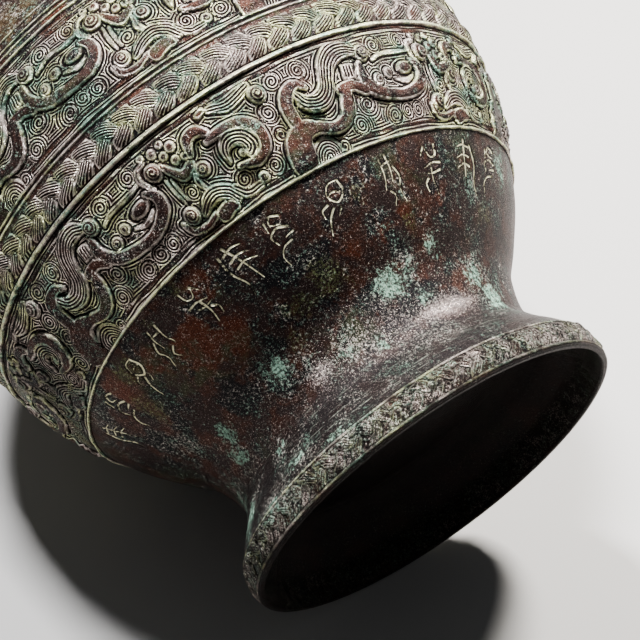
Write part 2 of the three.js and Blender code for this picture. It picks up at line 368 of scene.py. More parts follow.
@dataclass
class Band:
    """A band of carving that repeats round the vessel, on a flat field. A single raised line has no name."""

    name: str
    low: float
    high: float
    repeat: float
    shift: float
    forms: list[Form]
    pitch: float = 1.25
    ground: bool = True
    parted: bool = False
    sway: float = 1.0
    wear: float = 0.15
    gap: float = 0.3

    def local(self, girth: np.ndarray, length: np.ndarray) -> tuple[np.ndarray, np.ndarray]:
        """Turns places on the wall into the band's own field, with the slight sway of handwork.

        Args:
            girth: Girth lengths of the points.
            length: Wall lengths of the points.

        Returns:
            Places along the field, before they are wrapped, and places across it.
        """
        angle = girth / GIRTH
        sway = 0.45 * np.sin(14 * angle + 1.3) + 0.30 * np.sin(31 * angle + length / 6.0)
        dip = 0.30 * np.sin(20 * angle + 2.0) + 0.20 * np.sin(43 * angle + 0.4)
        return girth - self.shift + self.sway * sway, length - self.low + self.sway * dip

    def keep(self, girth: np.ndarray, length: np.ndarray) -> np.ndarray:
        """Wears the carving down in patches.

        Args:
            girth: Girth lengths of the points.
            length: Wall lengths of the points.

        Returns:
            The share of the carving that is left at each point.
        """
        angle = girth / GIRTH
        patchy = np.sin(9 * angle + 0.7) + np.sin(23 * angle + length / 5.0) + np.sin(41 * angle - length / 3.0 + 2.0)
        return 1.0 - self.wear * smooth_step(-0.6, 1.6, patchy)

    def wrapped(self, form: Form, x: np.ndarray, anchor: np.ndarray) -> np.ndarray:
        """Moves points by whole repeats so that their anchors lie nearest to a form."""
        middle = form.centre()
        return x - self.repeat * np.round((anchor - middle) / self.repeat)

    def choose(self, x: np.ndarray, y: np.ndarray) -> np.ndarray:
        """Picks the form that rules each point: the one that it lies deepest inside, or else the nearest.

        Args:
            x: Places along the field.
            y: Places across the field.

        Returns:
            The number of the form at each point.
        """
        best = np.full(x.shape, -1e9)
        chosen = np.zeros(x.shape, dtype=int)
        for number, form in enumerate(self.forms):
            side, _ = form.fields(self.wrapped(form, x, x), y)
            chosen = np.where(side > best, number, chosen)
            best = np.maximum(side, best)
        return chosen

    def rival(self, number: int, x: np.ndarray, y: np.ndarray) -> np.ndarray:
        """Measures points against the strongest form but one, its own copies next door included.

        Args:
            number: The form that is left out.
            x: Places along the field.
            y: Places across the field.

        Returns:
            How far the points lie inside that form's edge.
        """
        own = self.forms[number].fields(x - self.repeat, y)[0]
        best = np.maximum(own, self.forms[number].fields(x + self.repeat, y)[0])
        for other, form in enumerate(self.forms):
            if other != number:
                best = np.maximum(best, form.fields(self.wrapped(form, x, x), y)[0])
        return best

    def measure(self, x: np.ndarray, y: np.ndarray, anchor_x: np.ndarray, anchor_y: np.ndarray) -> Relief:
        """Measures points by the forms that rule their anchors.

        Args:
            x: Places along the field.
            y: Places across it.
            anchor_x: The middle of each point's face, along the field.
            anchor_y: The same, across it.

        Returns:
            The relief at the points.
        """
        chosen = self.choose(anchor_x, anchor_y)
        relief = Relief(np.zeros(x.shape), np.full(x.shape, FAR_OUTSIDE), np.zeros(x.shape), np.zeros(x.shape))
        for number, form in enumerate(self.forms):
            pick = chosen == number
            if not pick.any():
                continue
            px = self.wrapped(form, x[pick], anchor_x[pick])
            ax = self.wrapped(form, anchor_x[pick], anchor_x[pick])
            side, across = form.fields(px, y[pick])
            if self.parted:
                side = np.minimum(side, side - self.rival(number, px, y[pick])) - self.gap
            inside = form.fields(ax, anchor_y[pick])[0] > 0
            stripes = across / self.pitch
            if form.surface is Surface.SPIRAL:
                own = form.angle(ax, anchor_y[pick])
                turned = form.angle(px, y[pick])
                turned = turned - np.round(turned - own)
                stripes = stripes - turned
            ground = -side / self.pitch
            relief.phase[pick] = np.where(inside, stripes, ground)
            striped = 0.0 if form.surface is Surface.PLAIN else form.gain
            relief.gain[pick] = np.where(inside, striped, 1.0 if self.ground else 0.0)
            relief.side[pick] = side if form.rise > 0 else FAR_OUTSIDE
            relief.lift[pick] = form.lift(side) if form.rise > 0 else 0.0
        return relief


def dragon_forms(extra_top: float = 0.0) -> list[Form]:
    """Lays out one pattern block of the dragon band.

    Args:
        extra_top: Height added above the block, filled with lines.

    Returns:
        The block's forms, in millimetres from the block's middle and its lower border.
    """
    plain, striped, ringed, spiral = Surface.PLAIN, Surface.STRIPED, Surface.RINGED, Surface.SPIRAL
    forms: list[Form] = [Border(rise=0.0, at_y=1.9, width=0.5), Border(rise=0.0, at_y=40.8, width=0.5)]
    if extra_top > 0:
        forms.append(Border(rise=0.0, at_y=40.8 + extra_top, width=0.5))
    coils = [(-64.0, 6.4, 3.6), (-42.5, 35.4, 3.2), (-27.3, 35.8, 3.2), (-9.8, 16.4, 3.2), (10.6, 8.6, 3.6),
             (24.8, 7.1, 3.8), (33.0, 25.4, 3.7), (41.0, 35.7, 3.2), (53.4, 34.6, 3.2), (-57.0, 13.7, 2.8),
             (-30.5, 6.6, 3.0), (-45.5, 6.2, 3.0), (-37.6, 7.2, 3.0), (33.0, 16.0, 2.2), (57.5, 1.2, 2.4)]
    for number, (x, y, radius) in enumerate(coils):
        turn = 1.0 if number % 2 else -1.0
        forms.append(Boss(surface=spiral, rise=0.0, at=(x, y), radius=radius, turn=turn))
    knobs = [(-50.8, 33.2, 3.6, 2.8), (-17.5, 30.9, 3.8, 3.0), (-16.5, 9.7, 3.6, 2.8), (33.0, 33.5, 3.8, 2.8),
             (17.8, 5.4, 2.3, 1.6), (16.2, 17.0, 1.6, 2.0)]
    for x, y, radius, rise in knobs:
        forms.append(Boss(surface=spiral, gain=0.55, rise=rise, at=(x, y), radius=radius))
    beads = [(-18.4, 38.0, 1.6), (-13.8, 37.0, 2.0), (-10.4, 33.4, 1.9), (-9.4, 38.2, 1.6), (-6.2, 35.0, 2.2),
             (-7.3, 29.6, 1.9), (-3.6, 28.8, 1.7), (-47.5, 21.4, 2.6), (-41.0, 23.1, 2.3), (-0.7, 21.2, 3.0)]
    for x, y, radius in beads:
        forms.append(Boss(surface=ringed, gain=0.4, rise=1.6, at=(x, y), radius=radius))
    forms += [
        Ribbon(surface=striped, rise=2.0, widths=(4.5, 7.0, 8.5, 7.8, 6.8, 7.6, 8.0, 6.0, 3.0),
               path=((-54.5, 35.6), (-58.0, 37.0), (-63.0, 36.4), (-67.3, 33.2), (-70.0, 28.5), (-72.8, 23.4),
                     (-78.0, 20.4), (-83.5, 21.8), (-86.5, 26.6))),
        Ribbon(surface=plain, rise=1.9, widths=(6.5, 6.5, 6.0, 4.0, 2.0),
               path=((-92.0, 17.4), (-91.8, 24.4), (-89.0, 29.0), (-84.5, 30.0), (-80.5, 27.0))),
        Boss(surface=ringed, rise=0.6, at=(48.0, -0.5), radius=8.4),
        Ribbon(surface=plain, rise=2.2, widths=(13.0, 12.0, 9.0, 5.0, 5.0, 6.0, 6.0, 5.0),
               path=((36.5, 2.6), (37.6, 9.6), (42.5, 13.2), (49.5, 11.6), (56.5, 9.0), (62.5, 10.6),
                     (66.2, 15.6), (68.4, 21.6))),
        Ribbon(surface=plain, rise=2.1, widths=(3.0, 5.0, 5.2, 5.0, 4.6, 5.4, 5.6, 5.0, 2.6),
               path=((-54.5, 29.4), (-55.2, 23.4), (-51.5, 17.9), (-45.0, 14.7), (-36.0, 13.7), (-28.6, 14.8),
                     (-23.8, 18.4), (-22.8, 23.2), (-26.2, 26.8))),
        Ribbon(surface=plain, rise=1.7, widths=(5.0, 4.6, 4.0), path=((-66.5, 21.2), (-60.6, 22.0), (-56.0, 19.0))),
        Tablet(surface=ringed, rise=1.4, at=(-60.0, 27.8), size=(5.4, 6.2), lean=-0.12),
        Boss(surface=plain, rise=1.7, at=(-31.0, 24.2), radius=2.6, stretch=1.7),
        Ribbon(surface=plain, rise=1.2, widths=(1.4, 2.0, 1.4),
               path=((-46.5, 29.4), (-40.0, 31.2), (-30.0, 31.0), (-24.5, 31.4))),
        Ribbon(surface=plain, rise=0.9, widths=(1.2, 2.2, 1.2), path=((-38.0, 20.6), (-32.0, 18.8), (-27.4, 20.4))),
        Ribbon(surface=plain, rise=1.5, widths=(1.6, 2.6, 2.0),
               path=((-18.2, 36.2), (-23.0, 34.6), (-24.0, 30.0), (-21.4, 26.0))),
        Ribbon(surface=plain, rise=2.0, widths=(2.5, 3.5, 4.5, 4.0),
               path=((-13.4, 31.2), (-11.2, 27.0), (-8.0, 23.2), (-3.6, 24.8))),
        Ribbon(surface=plain, rise=0.9, widths=(1.1, 1.5, 1.1), path=((-15.6, 26.0), (-15.8, 20.6), (-15.4, 14.6))),
        Ribbon(surface=plain, rise=0.9, widths=(1.1, 1.5, 1.1), path=((-13.4, 25.0), (-13.6, 20.0), (-13.2, 14.6))),
        Ribbon(surface=plain, rise=1.2, widths=(2.0, 2.6, 2.0), path=((-4.4, 21.0), (-5.0, 17.4), (-3.6, 14.0))),
        Ribbon(surface=plain, rise=1.6, widths=(2.4, 3.2, 3.2, 2.6),
               path=((-21.6, 8.8), (-19.4, 4.4), (-13.4, 3.2), (-7.6, 4.6))),
        Ribbon(surface=striped, rise=1.3, widths=(3.0, 5.5, 6.5, 6.0, 4.0),
               path=((-11.6, 7.4), (-6.8, 10.2), (-1.8, 11.2), (2.6, 9.0), (4.8, 5.2))),
        Ribbon(surface=plain, rise=1.5, widths=(6.5, 5.5, 3.0), path=((-4.8, 2.8), (-0.5, 4.0), (2.2, 2.8))),
        Ribbon(surface=plain, rise=1.9, widths=(3.0, 4.8, 5.0, 3.0),
               path=((-1.6, 28.0), (0.6, 33.2), (5.2, 34.2), (9.0, 31.0))),
        Ribbon(surface=plain, rise=2.1, widths=(2.5, 4.4, 4.8, 5.0, 4.8, 4.2, 2.4),
               path=((6.5, 28.4), (13.0, 28.4), (21.0, 27.6), (25.6, 22.6), (25.2, 15.2), (19.4, 11.9), (12.0, 13.4))),
        Ribbon(surface=striped, rise=1.6, widths=(1.5, 4.0, 6.5, 7.5, 6.0, 3.5, 1.5),
               path=((9.6, 16.6), (10.6, 21.4), (14.6, 24.0), (19.4, 22.6), (21.2, 18.2), (19.0, 15.4),
                     (17.6, 16.6))),
        Ribbon(surface=striped, rise=0.6, widths=(3.0, 4.2, 3.2), path=((5.6, 8.6), (9.4, 3.8), (15.0, 3.6))),
        Ribbon(surface=striped, rise=1.0, widths=(3.0, 6.0, 5.5, 3.5),
               path=((14.0, 37.4), (20.0, 36.0), (26.0, 37.0), (31.0, 38.4))),
        Tablet(surface=plain, rise=1.0, at=(10.6, 38.2), size=(4.4, 2.6), lean=0.2),
    ]
    return forms


def plait_forms(period: float, height: float, rise: float, gain: float) -> list[Form]:
    """Lays out one period of a plait of two rows of leaves, which meet like arrowheads.

    Args:
        period: The period's length.
        height: The plait's height.
        rise: How high its leaves stand.
        gain: How strong their lines are.

    Returns:
        The two leaves of the period.
    """
    length = 0.66 * period
    width = 0.31 * height
    return [
        Leaf(surface=Surface.STRIPED, rise=rise, at=(0.25 * period, 0.27 * height), half_length=length,
             half_width=width, lean=0.62, bow=-0.6, gain=gain * 0.8),
        Leaf(surface=Surface.STRIPED, rise=rise * 1.1, at=(0.75 * period, 0.70 * height), half_length=length * 1.05,
             half_width=width * 1.08, lean=-0.42, bow=1.5, gain=gain),
    ]


@dataclass(frozen=True)
class Stroke:
    """One cut stroke of a mark, in millimetres from the mark's middle."""

    path: tuple[Point, ...]
    width: float = 1.2


@dataclass
class Inscription:
    """A ring of marks of shallow strokes below the lowest line. The marks are no letters."""

    places: tuple[float, ...] = (-66.0, -54.7, -42.0, -31.7, -18.4, -5.2, 4.6, 17.9, 33.4, 45.5, 57.6, 68.5)
    middle: float = 97.0
    radius: float = 100.0
    seed: int = 23

    @staticmethod
    def kinds() -> tuple[tuple[Stroke, ...], ...]:
        """Returns the made-up marks that the ring is put together from."""
        fence = (Stroke(((-1.4, 10.5), (0.2, 3.0), (1.6, -7.5))), Stroke(((-4.0, 7.4), (0.0, 8.6), (3.0, 7.8))),
                 Stroke(((-3.0, 3.8), (0.6, 4.8), (4.2, 3.6))), Stroke(((-2.6, 0.2), (1.0, 1.2), (5.0, -0.2))),
                 Stroke(((-4.6, 8.6), (-5.6, 1.0), (-4.0, -6.5), (-5.4, -11.0))))
        lens = (Stroke(((-4.6, 9.6), (-5.4, 4.0), (-1.8, 0.4), (1.4, 4.6), (-0.4, 9.4), (-4.2, 9.8))),
                Stroke(((-4.4, 5.2), (-1.6, 6.2), (0.6, 5.0))), Stroke(((-2.6, -2.0), (-0.8, -5.0))),
                Stroke(((0.6, -0.6), (3.6, -5.0), (5.4, -11.5))), Stroke(((2.6, 1.4), (5.4, 0.0), (5.6, -3.4))))
        fork = (Stroke(((-3.8, 10.0), (-3.2, 5.6), (-0.4, 4.6), (1.4, 8.2))), Stroke(((2.0, 9.6), (4.4, 6.0))),
                Stroke(((-5.0, 2.2), (-1.0, 2.6), (3.6, 1.0))), Stroke(((-3.6, -0.8), (0.4, -1.8), (4.2, -1.4))),
                Stroke(((0.2, 2.0), (0.6, -4.6), (-0.8, -10.8))), Stroke(((2.6, -3.6), (4.6, -6.2), (4.0, -9.4))))
        curls = (Stroke(((-4.0, 8.8), (-0.8, 10.4), (0.8, 7.4), (-2.2, 5.8))), Stroke(((2.4, 9.6), (3.0, 5.4))),
                 Stroke(((-3.6, 2.6), (0.0, 4.4), (3.8, 2.4), (3.2, -1.6))), Stroke(((-4.2, 0.0), (-1.0, -0.6))),
                 Stroke(((-1.8, -2.6), (2.2, -3.6), (4.8, -7.0), (4.4, -11.0))))
        gate = (Stroke(((-3.6, 9.4), (-3.2, 3.4), (-4.6, -2.4))), Stroke(((0.4, 9.8), (1.2, 4.2), (0.6, -0.8))),
                Stroke(((-3.4, 6.2), (1.0, 6.8))), Stroke(((2.8, 5.0), (4.8, 0.4), (3.4, -4.4), (5.2, -9.8))),
                Stroke(((-2.4, -3.6), (0.0, -6.2), (-1.4, -9.6))))
        return fence, lens, fork, curls, gate

    def mark(self, number: int) -> list[Stroke]:
        """Cuts one mark: a made-up one, stretched, leant and at times turned over by the seed.

        Args:
            number: The mark's place in the ring.

        Returns:
            The mark's strokes.
        """
        rng = np.random.default_rng(self.seed + number)
        kinds = self.kinds()
        flip = -1.0 if rng.random() < 0.5 else 1.0
        wide, tall = rng.uniform(0.85, 1.15), rng.uniform(0.8, 1.05)
        lean = rng.uniform(-0.15, 0.15)
        rows = []
        for stroke in kinds[number * 3 % len(kinds)]:
            nudge = rng.uniform(-0.5, 0.5, 2)
            path = tuple((flip * x * wide + lean * y + nudge[0], y * tall + nudge[1]) for x, y in stroke.path)
            rows.append(Stroke(path, rng.uniform(0.65, 1.0)))
        return rows

    def cuts(self) -> list[tuple[np.ndarray, float]]:
        """Cuts all marks of the ring.

        Returns:
            Every stroke as its curve in girth and wall lengths, with its width.
        """
        rows = []
        for number, place in enumerate(self.places):
            for stroke in self.mark(number):
                curve = smooth_path(stroke.path, 4)
                girth = math.radians(place) * GIRTH + curve[:, 0] * GIRTH / self.radius
                rows.append((np.stack([girth, self.middle + curve[:, 1]], axis=1), stroke.width))
        return rows

    def measure(self, girth: np.ndarray, length: np.ndarray, anchor_girth: np.ndarray,
                anchor_length: np.ndarray) -> tuple[np.ndarray, np.ndarray]:
        """Measures points by the stroke piece nearest to their anchors.

        Args:
            girth: Girth lengths of the points.
            length: Wall lengths of the points.
            anchor_girth: The middle of each point's face, as a girth length.
            anchor_length: The same, as a wall length.

        Returns:
            The places across the stroke, and how far the points lie past its ends.
        """
        scale = self.radius / GIRTH
        best = np.full(girth.shape, 1e9)
        across = np.full(girth.shape, 9.0)
        beyond = np.full(girth.shape, 9.0)
        for curve, width in self.cuts():
            near = np.abs(anchor_girth - curve[:, 0].mean()) < 16.0
            if not near.any():
                continue
            px, py = girth[near] * scale, length[near]
            qx, qy = anchor_girth[near] * scale, anchor_length[near]
            last = len(curve) - 2
            for number in range(last + 1):
                (ax, ay), (bx, by) = curve[number], curve[number + 1]
                ax, bx = ax * scale, bx * scale
                dx, dy = bx - ax, by - ay
                size = math.hypot(dx, dy)
                own = ((qx - ax) * dx + (qy - ay) * dy) / size ** 2
                t = np.clip(own, 0.0, 1.0)
                distance = np.hypot(qx - ax - t * dx, qy - ay - t * dy)
                wins = distance < best[near]
                along = ((px - ax) * dx + (py - ay) * dy) / size
                off = ((py - ay) * dx - (px - ax) * dy) / size
                broad = width * (1.25 - 0.65 * number / last)
                past = np.zeros(along.shape)
                if number == 0:
                    past = np.maximum(past, -along)
                if number == last:
                    past = np.maximum(past, along - size)
                best[near] = np.where(wins, distance, best[near])
                across[near] = np.where(wins, off * 1.2 / broad, across[near])
                beyond[near] = np.where(wins, past, beyond[near])
        return across, beyond


@dataclass(frozen=True)
class Patch:
    """A patch of patina or of painted highlight: its angle in degrees, its wall length, its reach and its strength."""

    angle: float
    length: float
    reach: float
    strength: float = 1.0
    stretch: float = 1.0


@dataclass
class Patina:
    """Where the patina's colours and the painted highlights lie on the wall."""

    green: tuple[Patch, ...] = (
        Patch(23.5, 61, 9, 1.0, 1.2), Patch(32, 64, 5, 0.8), Patch(40, 69, 6, 0.8), Patch(32, 50, 5, 0.9),
        Patch(55, 53, 9, 1.0), Patch(60, 42, 11, 1.0, 0.8), Patch(-17, 59, 7, 1.0), Patch(-8, 56, 6, 0.6),
        Patch(0, 47, 7, 0.8, 1.3), Patch(12, 43, 6, 0.8, 1.3), Patch(-46, 58, 7, 1.0), Patch(-51, 49, 9, 0.9),
        Patch(-34, 36, 6, 0.8), Patch(-60, 25, 12, 0.9), Patch(-61, 68, 8, 0.6), Patch(-72, 40, 14, 0.8),
        Patch(-28, 22, 7, 0.7, 1.5), Patch(-40, 12, 8, 0.8, 2.0), Patch(-12, 14, 7, 0.7, 2.0),
        Patch(8, 22, 6, 0.5, 2.0), Patch(28, 30, 6, 0.6, 2.5), Patch(35, 92, 6, 0.5), Patch(2, 104, 5, 0.4),
        Patch(60, 88, 9, 0.6), Patch(76, 100, 14, 0.8), Patch(-60, 118, 12, 0.6, 1.6), Patch(-55, 140, 10, 0.6),
        Patch(52, 140, 10, 0.6), Patch(12, 138, 5, 0.6), Patch(64, 130, 8, 0.7), Patch(-33, 218, 9, 1.0, 1.3),
        Patch(-22, 212, 9, 0.6), Patch(-14, 196, 8, 0.5), Patch(-8, 246, 10, 0.6, 2.0), Patch(-24, 186, 7, 0.6),
        Patch(120, 90, 22, 0.7, 1.5), Patch(170, 60, 18, 0.7), Patch(-140, 130, 24, 0.5), Patch(-110, 250, 26, 0.6),
        Patch(30, 300, 30, 0.6), Patch(-40, 340, 26, 0.7), Patch(150, 330, 30, 0.6), Patch(90, 420, 30, 0.6),
        Patch(-60, 440, 24, 0.7), Patch(20, 460, 20, 0.6), Patch(-160, 440, 30, 0.5), Patch(-100, 40, 16, 0.6))
    red: tuple[Patch, ...] = (
        Patch(-50, 104, 9, 1.0), Patch(-27, 87, 13, 1.3), Patch(-19, 80, 9, 1.2), Patch(-15, 101, 8, 1.0),
        Patch(-36, 96, 9, 0.9), Patch(28, 79, 9, 0.8), Patch(43, 65, 8, 0.8), Patch(17, 79, 7, 0.7),
        Patch(35, 84, 7, 0.7), Patch(58, 100, 10, 0.8), Patch(46, 82, 8, 0.6), Patch(-6, 120, 8, 0.6),
        Patch(-4, 226, 10, 0.6, 2.0), Patch(100, 120, 30, 0.7),
        Patch(-120, 90, 30, 0.8), Patch(-170, 200, 40, 0.6), Patch(60, 330, 40, 0.6), Patch(-80, 400, 40, 0.6),
        Patch(150, 260, 30, 0.6))
    moss: tuple[Patch, ...] = (
        Patch(-43, 103, 9, 1.1), Patch(8, 75, 10, 1.1), Patch(0, 72, 9, 1.0), Patch(35, 80, 5, 0.9),
        Patch(-30, 106, 6, 0.8), Patch(-50, 88, 10, 0.9), Patch(-8, 62, 8, 0.7), Patch(24, 98, 7, 0.7),
        Patch(-20, 108, 5, 0.8), Patch(66, 78, 10, 0.8), Patch(130, 90, 26, 0.8), Patch(-120, 60, 24, 0.8),
        Patch(170, 320, 40, 0.7), Patch(-30, 300, 30, 0.6))
    gold: tuple[Patch, ...] = (
        Patch(-13, 242, 12, 0.9, 2.6), Patch(-24, 224, 9, 0.8, 2.0), Patch(-32, 204, 10, 0.6),
        Patch(-44, 190, 12, 0.5), Patch(-62, 100, 8, 0.4), Patch(-20, 150, 8, 0.3), Patch(120, 250, 30, 0.6),
        Patch(-150, 300, 30, 0.5))
    dark: tuple[Patch, ...] = (
        Patch(-2, 88, 11, 0.9), Patch(9, 82, 12, 0.8), Patch(-14, 64, 12, 0.8), Patch(17, 58, 12, 0.9),
        Patch(30, 51, 11, 1.0, 1.6), Patch(17, 46, 11, 1.0, 1.6), Patch(42, 47, 9, 0.9), Patch(6, 66, 8, 0.8),
        Patch(-32, 63, 11, 1.0),
        Patch(-18, 94, 4, 0.9), Patch(47, 79, 6, 0.8), Patch(-48, 13, 10, 0.9, 1.6), Patch(-34, 26, 8, 0.6),
        Patch(-22, 52, 12, 0.6), Patch(45, 108, 9, 0.6), Patch(-40, 45, 10, 0.7), Patch(-62, 98, 10, 0.6),
        Patch(-63, 133, 26, 1.2), Patch(-62, 170, 18, 0.7), Patch(-80, 80, 20, 0.7), Patch(-60, 28, 14, 0.5),
        Patch(-58, 7, 11, 0.9, 3.0))
    # These patches are no patina: they paint highlights and glints on the waist, the foot's edge and the bands, where
    # the metal is also smoother and more metallic.
    bare_and_highlight: tuple[Patch, ...] = (
        Patch(-8.5, 47, 4.5, 0.9, 1.6), Patch(38, 43.5, 4.2, 1.0, 4.5), Patch(51, 8, 7, 0.7, 2.5),
        Patch(68, 5, 7, 0.8, 1.5), Patch(15, 44, 16, 0.35, 2.6), Patch(29, 32, 6, 0.4, 3.0),
        Patch(34, 150, 14, 0.35, 2.0), Patch(14, 165, 10, 0.5, 2.5), Patch(66, 160, 12, 0.5),
        Patch(-24, 128, 14, 0.35, 2.0))

    def kinds(self) -> dict[str, tuple[Patch, ...]]:
        """Returns the patches by the colour's name."""
        return {"green": self.green, "red": self.red, "moss": self.moss, "gold": self.gold, "dark": self.dark,
                "bare_and_highlight": self.bare_and_highlight}

    @staticmethod
    def spread(patches: tuple[Patch, ...], angle: np.ndarray, length: np.ndarray, radius: np.ndarray) -> np.ndarray:
        """Lays soft round patches over points.

        Args:
            patches: The patches.
            angle: The points' angles.
            length: The points' wall lengths.
            radius: The points' distances from the upright axis.

        Returns:
            The strength of the strongest patch at each point.
        """
        total = np.zeros(angle.shape)
        for patch in patches:
            away = angle - math.radians(patch.angle)
            away = (away - math.tau * np.round(away / math.tau)) * radius
            distance = np.hypot(away / patch.stretch, length - patch.length) / patch.reach
            total = np.maximum(total, patch.strength * np.exp(-distance ** 2))
        return total


class Board:
    """A short way to lay out a material's nodes."""

    def __init__(self, material: bpy.types.Material) -> None:
        """Clears the material's tree and keeps it.

        Args:
            material: The material.
        """
        material.use_nodes = True
        self.tree = material.node_tree
        self.tree.nodes.clear()

    def node(self, kind: str, **values: object) -> bpy.types.Node:
        """Adds a node and sets its properties.

        Args:
            kind: The node's type.
            values: Its properties by name.

        Returns:
            The node.
        """
        made = self.tree.nodes.new(kind)
        for name, value in values.items():
            setattr(made, name, value)
        return made

    def link(self, source: Socket, target: Socket) -> None:
        """Joins two sockets."""
        self.tree.links.new(source, target)

    def feed(self, target: Socket, value: object) -> None:
        """Gives a socket a link or a plain value.

        Args:
            target: The socket.
            value: Another socket, or a number or a colour.
        """
        if isinstance(value, Socket):
            self.link(value, target)
        else:
            target.default_value = value

    def math(self, operation: str, first: object, second: object = 0.0, third: object = 0.0) -> Socket:
        """Adds a Math node.

        Args:
            operation: What it does.
            first: Its first value.
            second: Its second value.
            third: Its third value.

        Returns:
            The node's result.
        """
        made = self.node("ShaderNodeMath", operation=operation)
        for socket, value in zip(made.inputs, (first, second, third)):
            self.feed(socket, value)
        return made.outputs[0]

    def times(self, first: object, *others: object) -> Socket:
        """Multiplies two or more values.

        Args:
            first: The first value.
            others: The others.

        Returns:
            Their product.
        """
        for other in others:
            first = self.math("MULTIPLY", first, other)
        return first

    def plus(self, base: object, value: object, share: object) -> Socket:
        """Adds a share of a value to a base."""
        return self.math("MULTIPLY_ADD", value, share, base)

    def most(self, first: object, second: object) -> Socket:
        """Returns the greater of two values."""
        return self.math("MAXIMUM", first, second)

    def halfway(self, first: Socket, second: Socket) -> Socket:
        """Returns the middle of two noises."""
        return self.plus(self.times(second, 0.5), first, 0.5)

    def sway(self, base: Socket, noise: Socket, share: float) -> Socket:
        """Moves a value up and down by a share of a noise."""
        return self.plus(base, self.math("SUBTRACT", noise, 0.5), share)

    def stretch(self, place: Socket, scale: tuple[float, float, float]) -> Socket:
        """Scales a place along the axes, which draws a noise out.

        Args:
            place: Where the noise is read.
            scale: The scale along each axis.

        Returns:
            The scaled place.
        """
        made = self.node("ShaderNodeVectorMath", operation="MULTIPLY")
        self.link(place, made.inputs[0])
        made.inputs[1].default_value = scale
        return made.outputs[0]

    def attribute(self, name: str) -> Socket:
        """Reads one number of the mesh."""
        return self.node("ShaderNodeAttribute", attribute_name=name).outputs["Fac"]

    def noise(self, place: Socket, scale: float, detail: float = 4.0, rough: float = 0.55,
              seed: float = 0.0, warp: float = 0.0) -> Socket:
        """Adds cloudy noise.

        Args:
            place: Where the noise is read.
            scale: Waves a metre.
            detail: How many finer waves are added.
            rough: How strong the finer waves are.
            seed: Which of many such noises it is.
            warp: How much it swirls.

        Returns:
            The noise, about 0.5 on average.
        """
        made = self.node("ShaderNodeTexNoise", noise_dimensions="4D")
        made.inputs["W"].default_value = seed
        made.inputs["Scale"].default_value = scale
        made.inputs["Detail"].default_value = detail
        made.inputs["Roughness"].default_value = rough
        made.inputs["Distortion"].default_value = warp
        self.link(place, made.inputs["Vector"])
        return made.outputs["Fac"]

    def rise(self, value: object, low: float, high: float) -> Socket:
        """Adds a smooth 0 to 1 rise between two values.

        Args:
            value: What rises.
            low: Where the rise starts.
            high: Where it ends.

        Returns:
            The rise, 0 to 1.
        """
        made = self.node("ShaderNodeMapRange", interpolation_type="SMOOTHSTEP")
        self.feed(made.inputs["Value"], value)
        made.inputs["From Min"].default_value = low
        made.inputs["From Max"].default_value = high
        return made.outputs["Result"]

    def mix(self, share: object, first: object, second: object) -> Socket:
        """Blends two colours.

        Args:
            share: The second colour's share.
            first: The first colour.
            second: The second colour.

        Returns:
            The blend.
        """
        made = self.node("ShaderNodeMix", data_type="RGBA")
        self.feed(made.inputs[0], share)
        self.feed(made.inputs[6], first)
        self.feed(made.inputs[7], second)
        return made.outputs[2]


@dataclass
class Clouds:
    """The noises and the places on the wall that the finish is mixed by."""

    level: Socket
    broad: Socket
    patch: Socket
    stain: Socket
    mottle: Socket
    speck: Socket
    grain: Socket
    veins: Socket
    turned: Socket
    edging: Socket
    flare: Socket


@dataclass
class Carved:
    """The casting's own lines, edges and cuts, as the finish sees them."""

    loose: Socket
    wave: Socket
    gain: Socket
    crest: Socket
    trough: Socket
    raised: Socket
    rim: Socket
    moat: Socket
    cut: Socket
    lip: Socket


@dataclass
class Crust:
    """What lies on the skin: green crust, pale flecks, painted highlights, painted groove shade, and pale edges from
    wear and painted highlight.
    """

    crusted: Socket
    green: Socket
    flecks: Socket
    bare_and_highlight: Socket
    deep: Socket
    edge: Socket


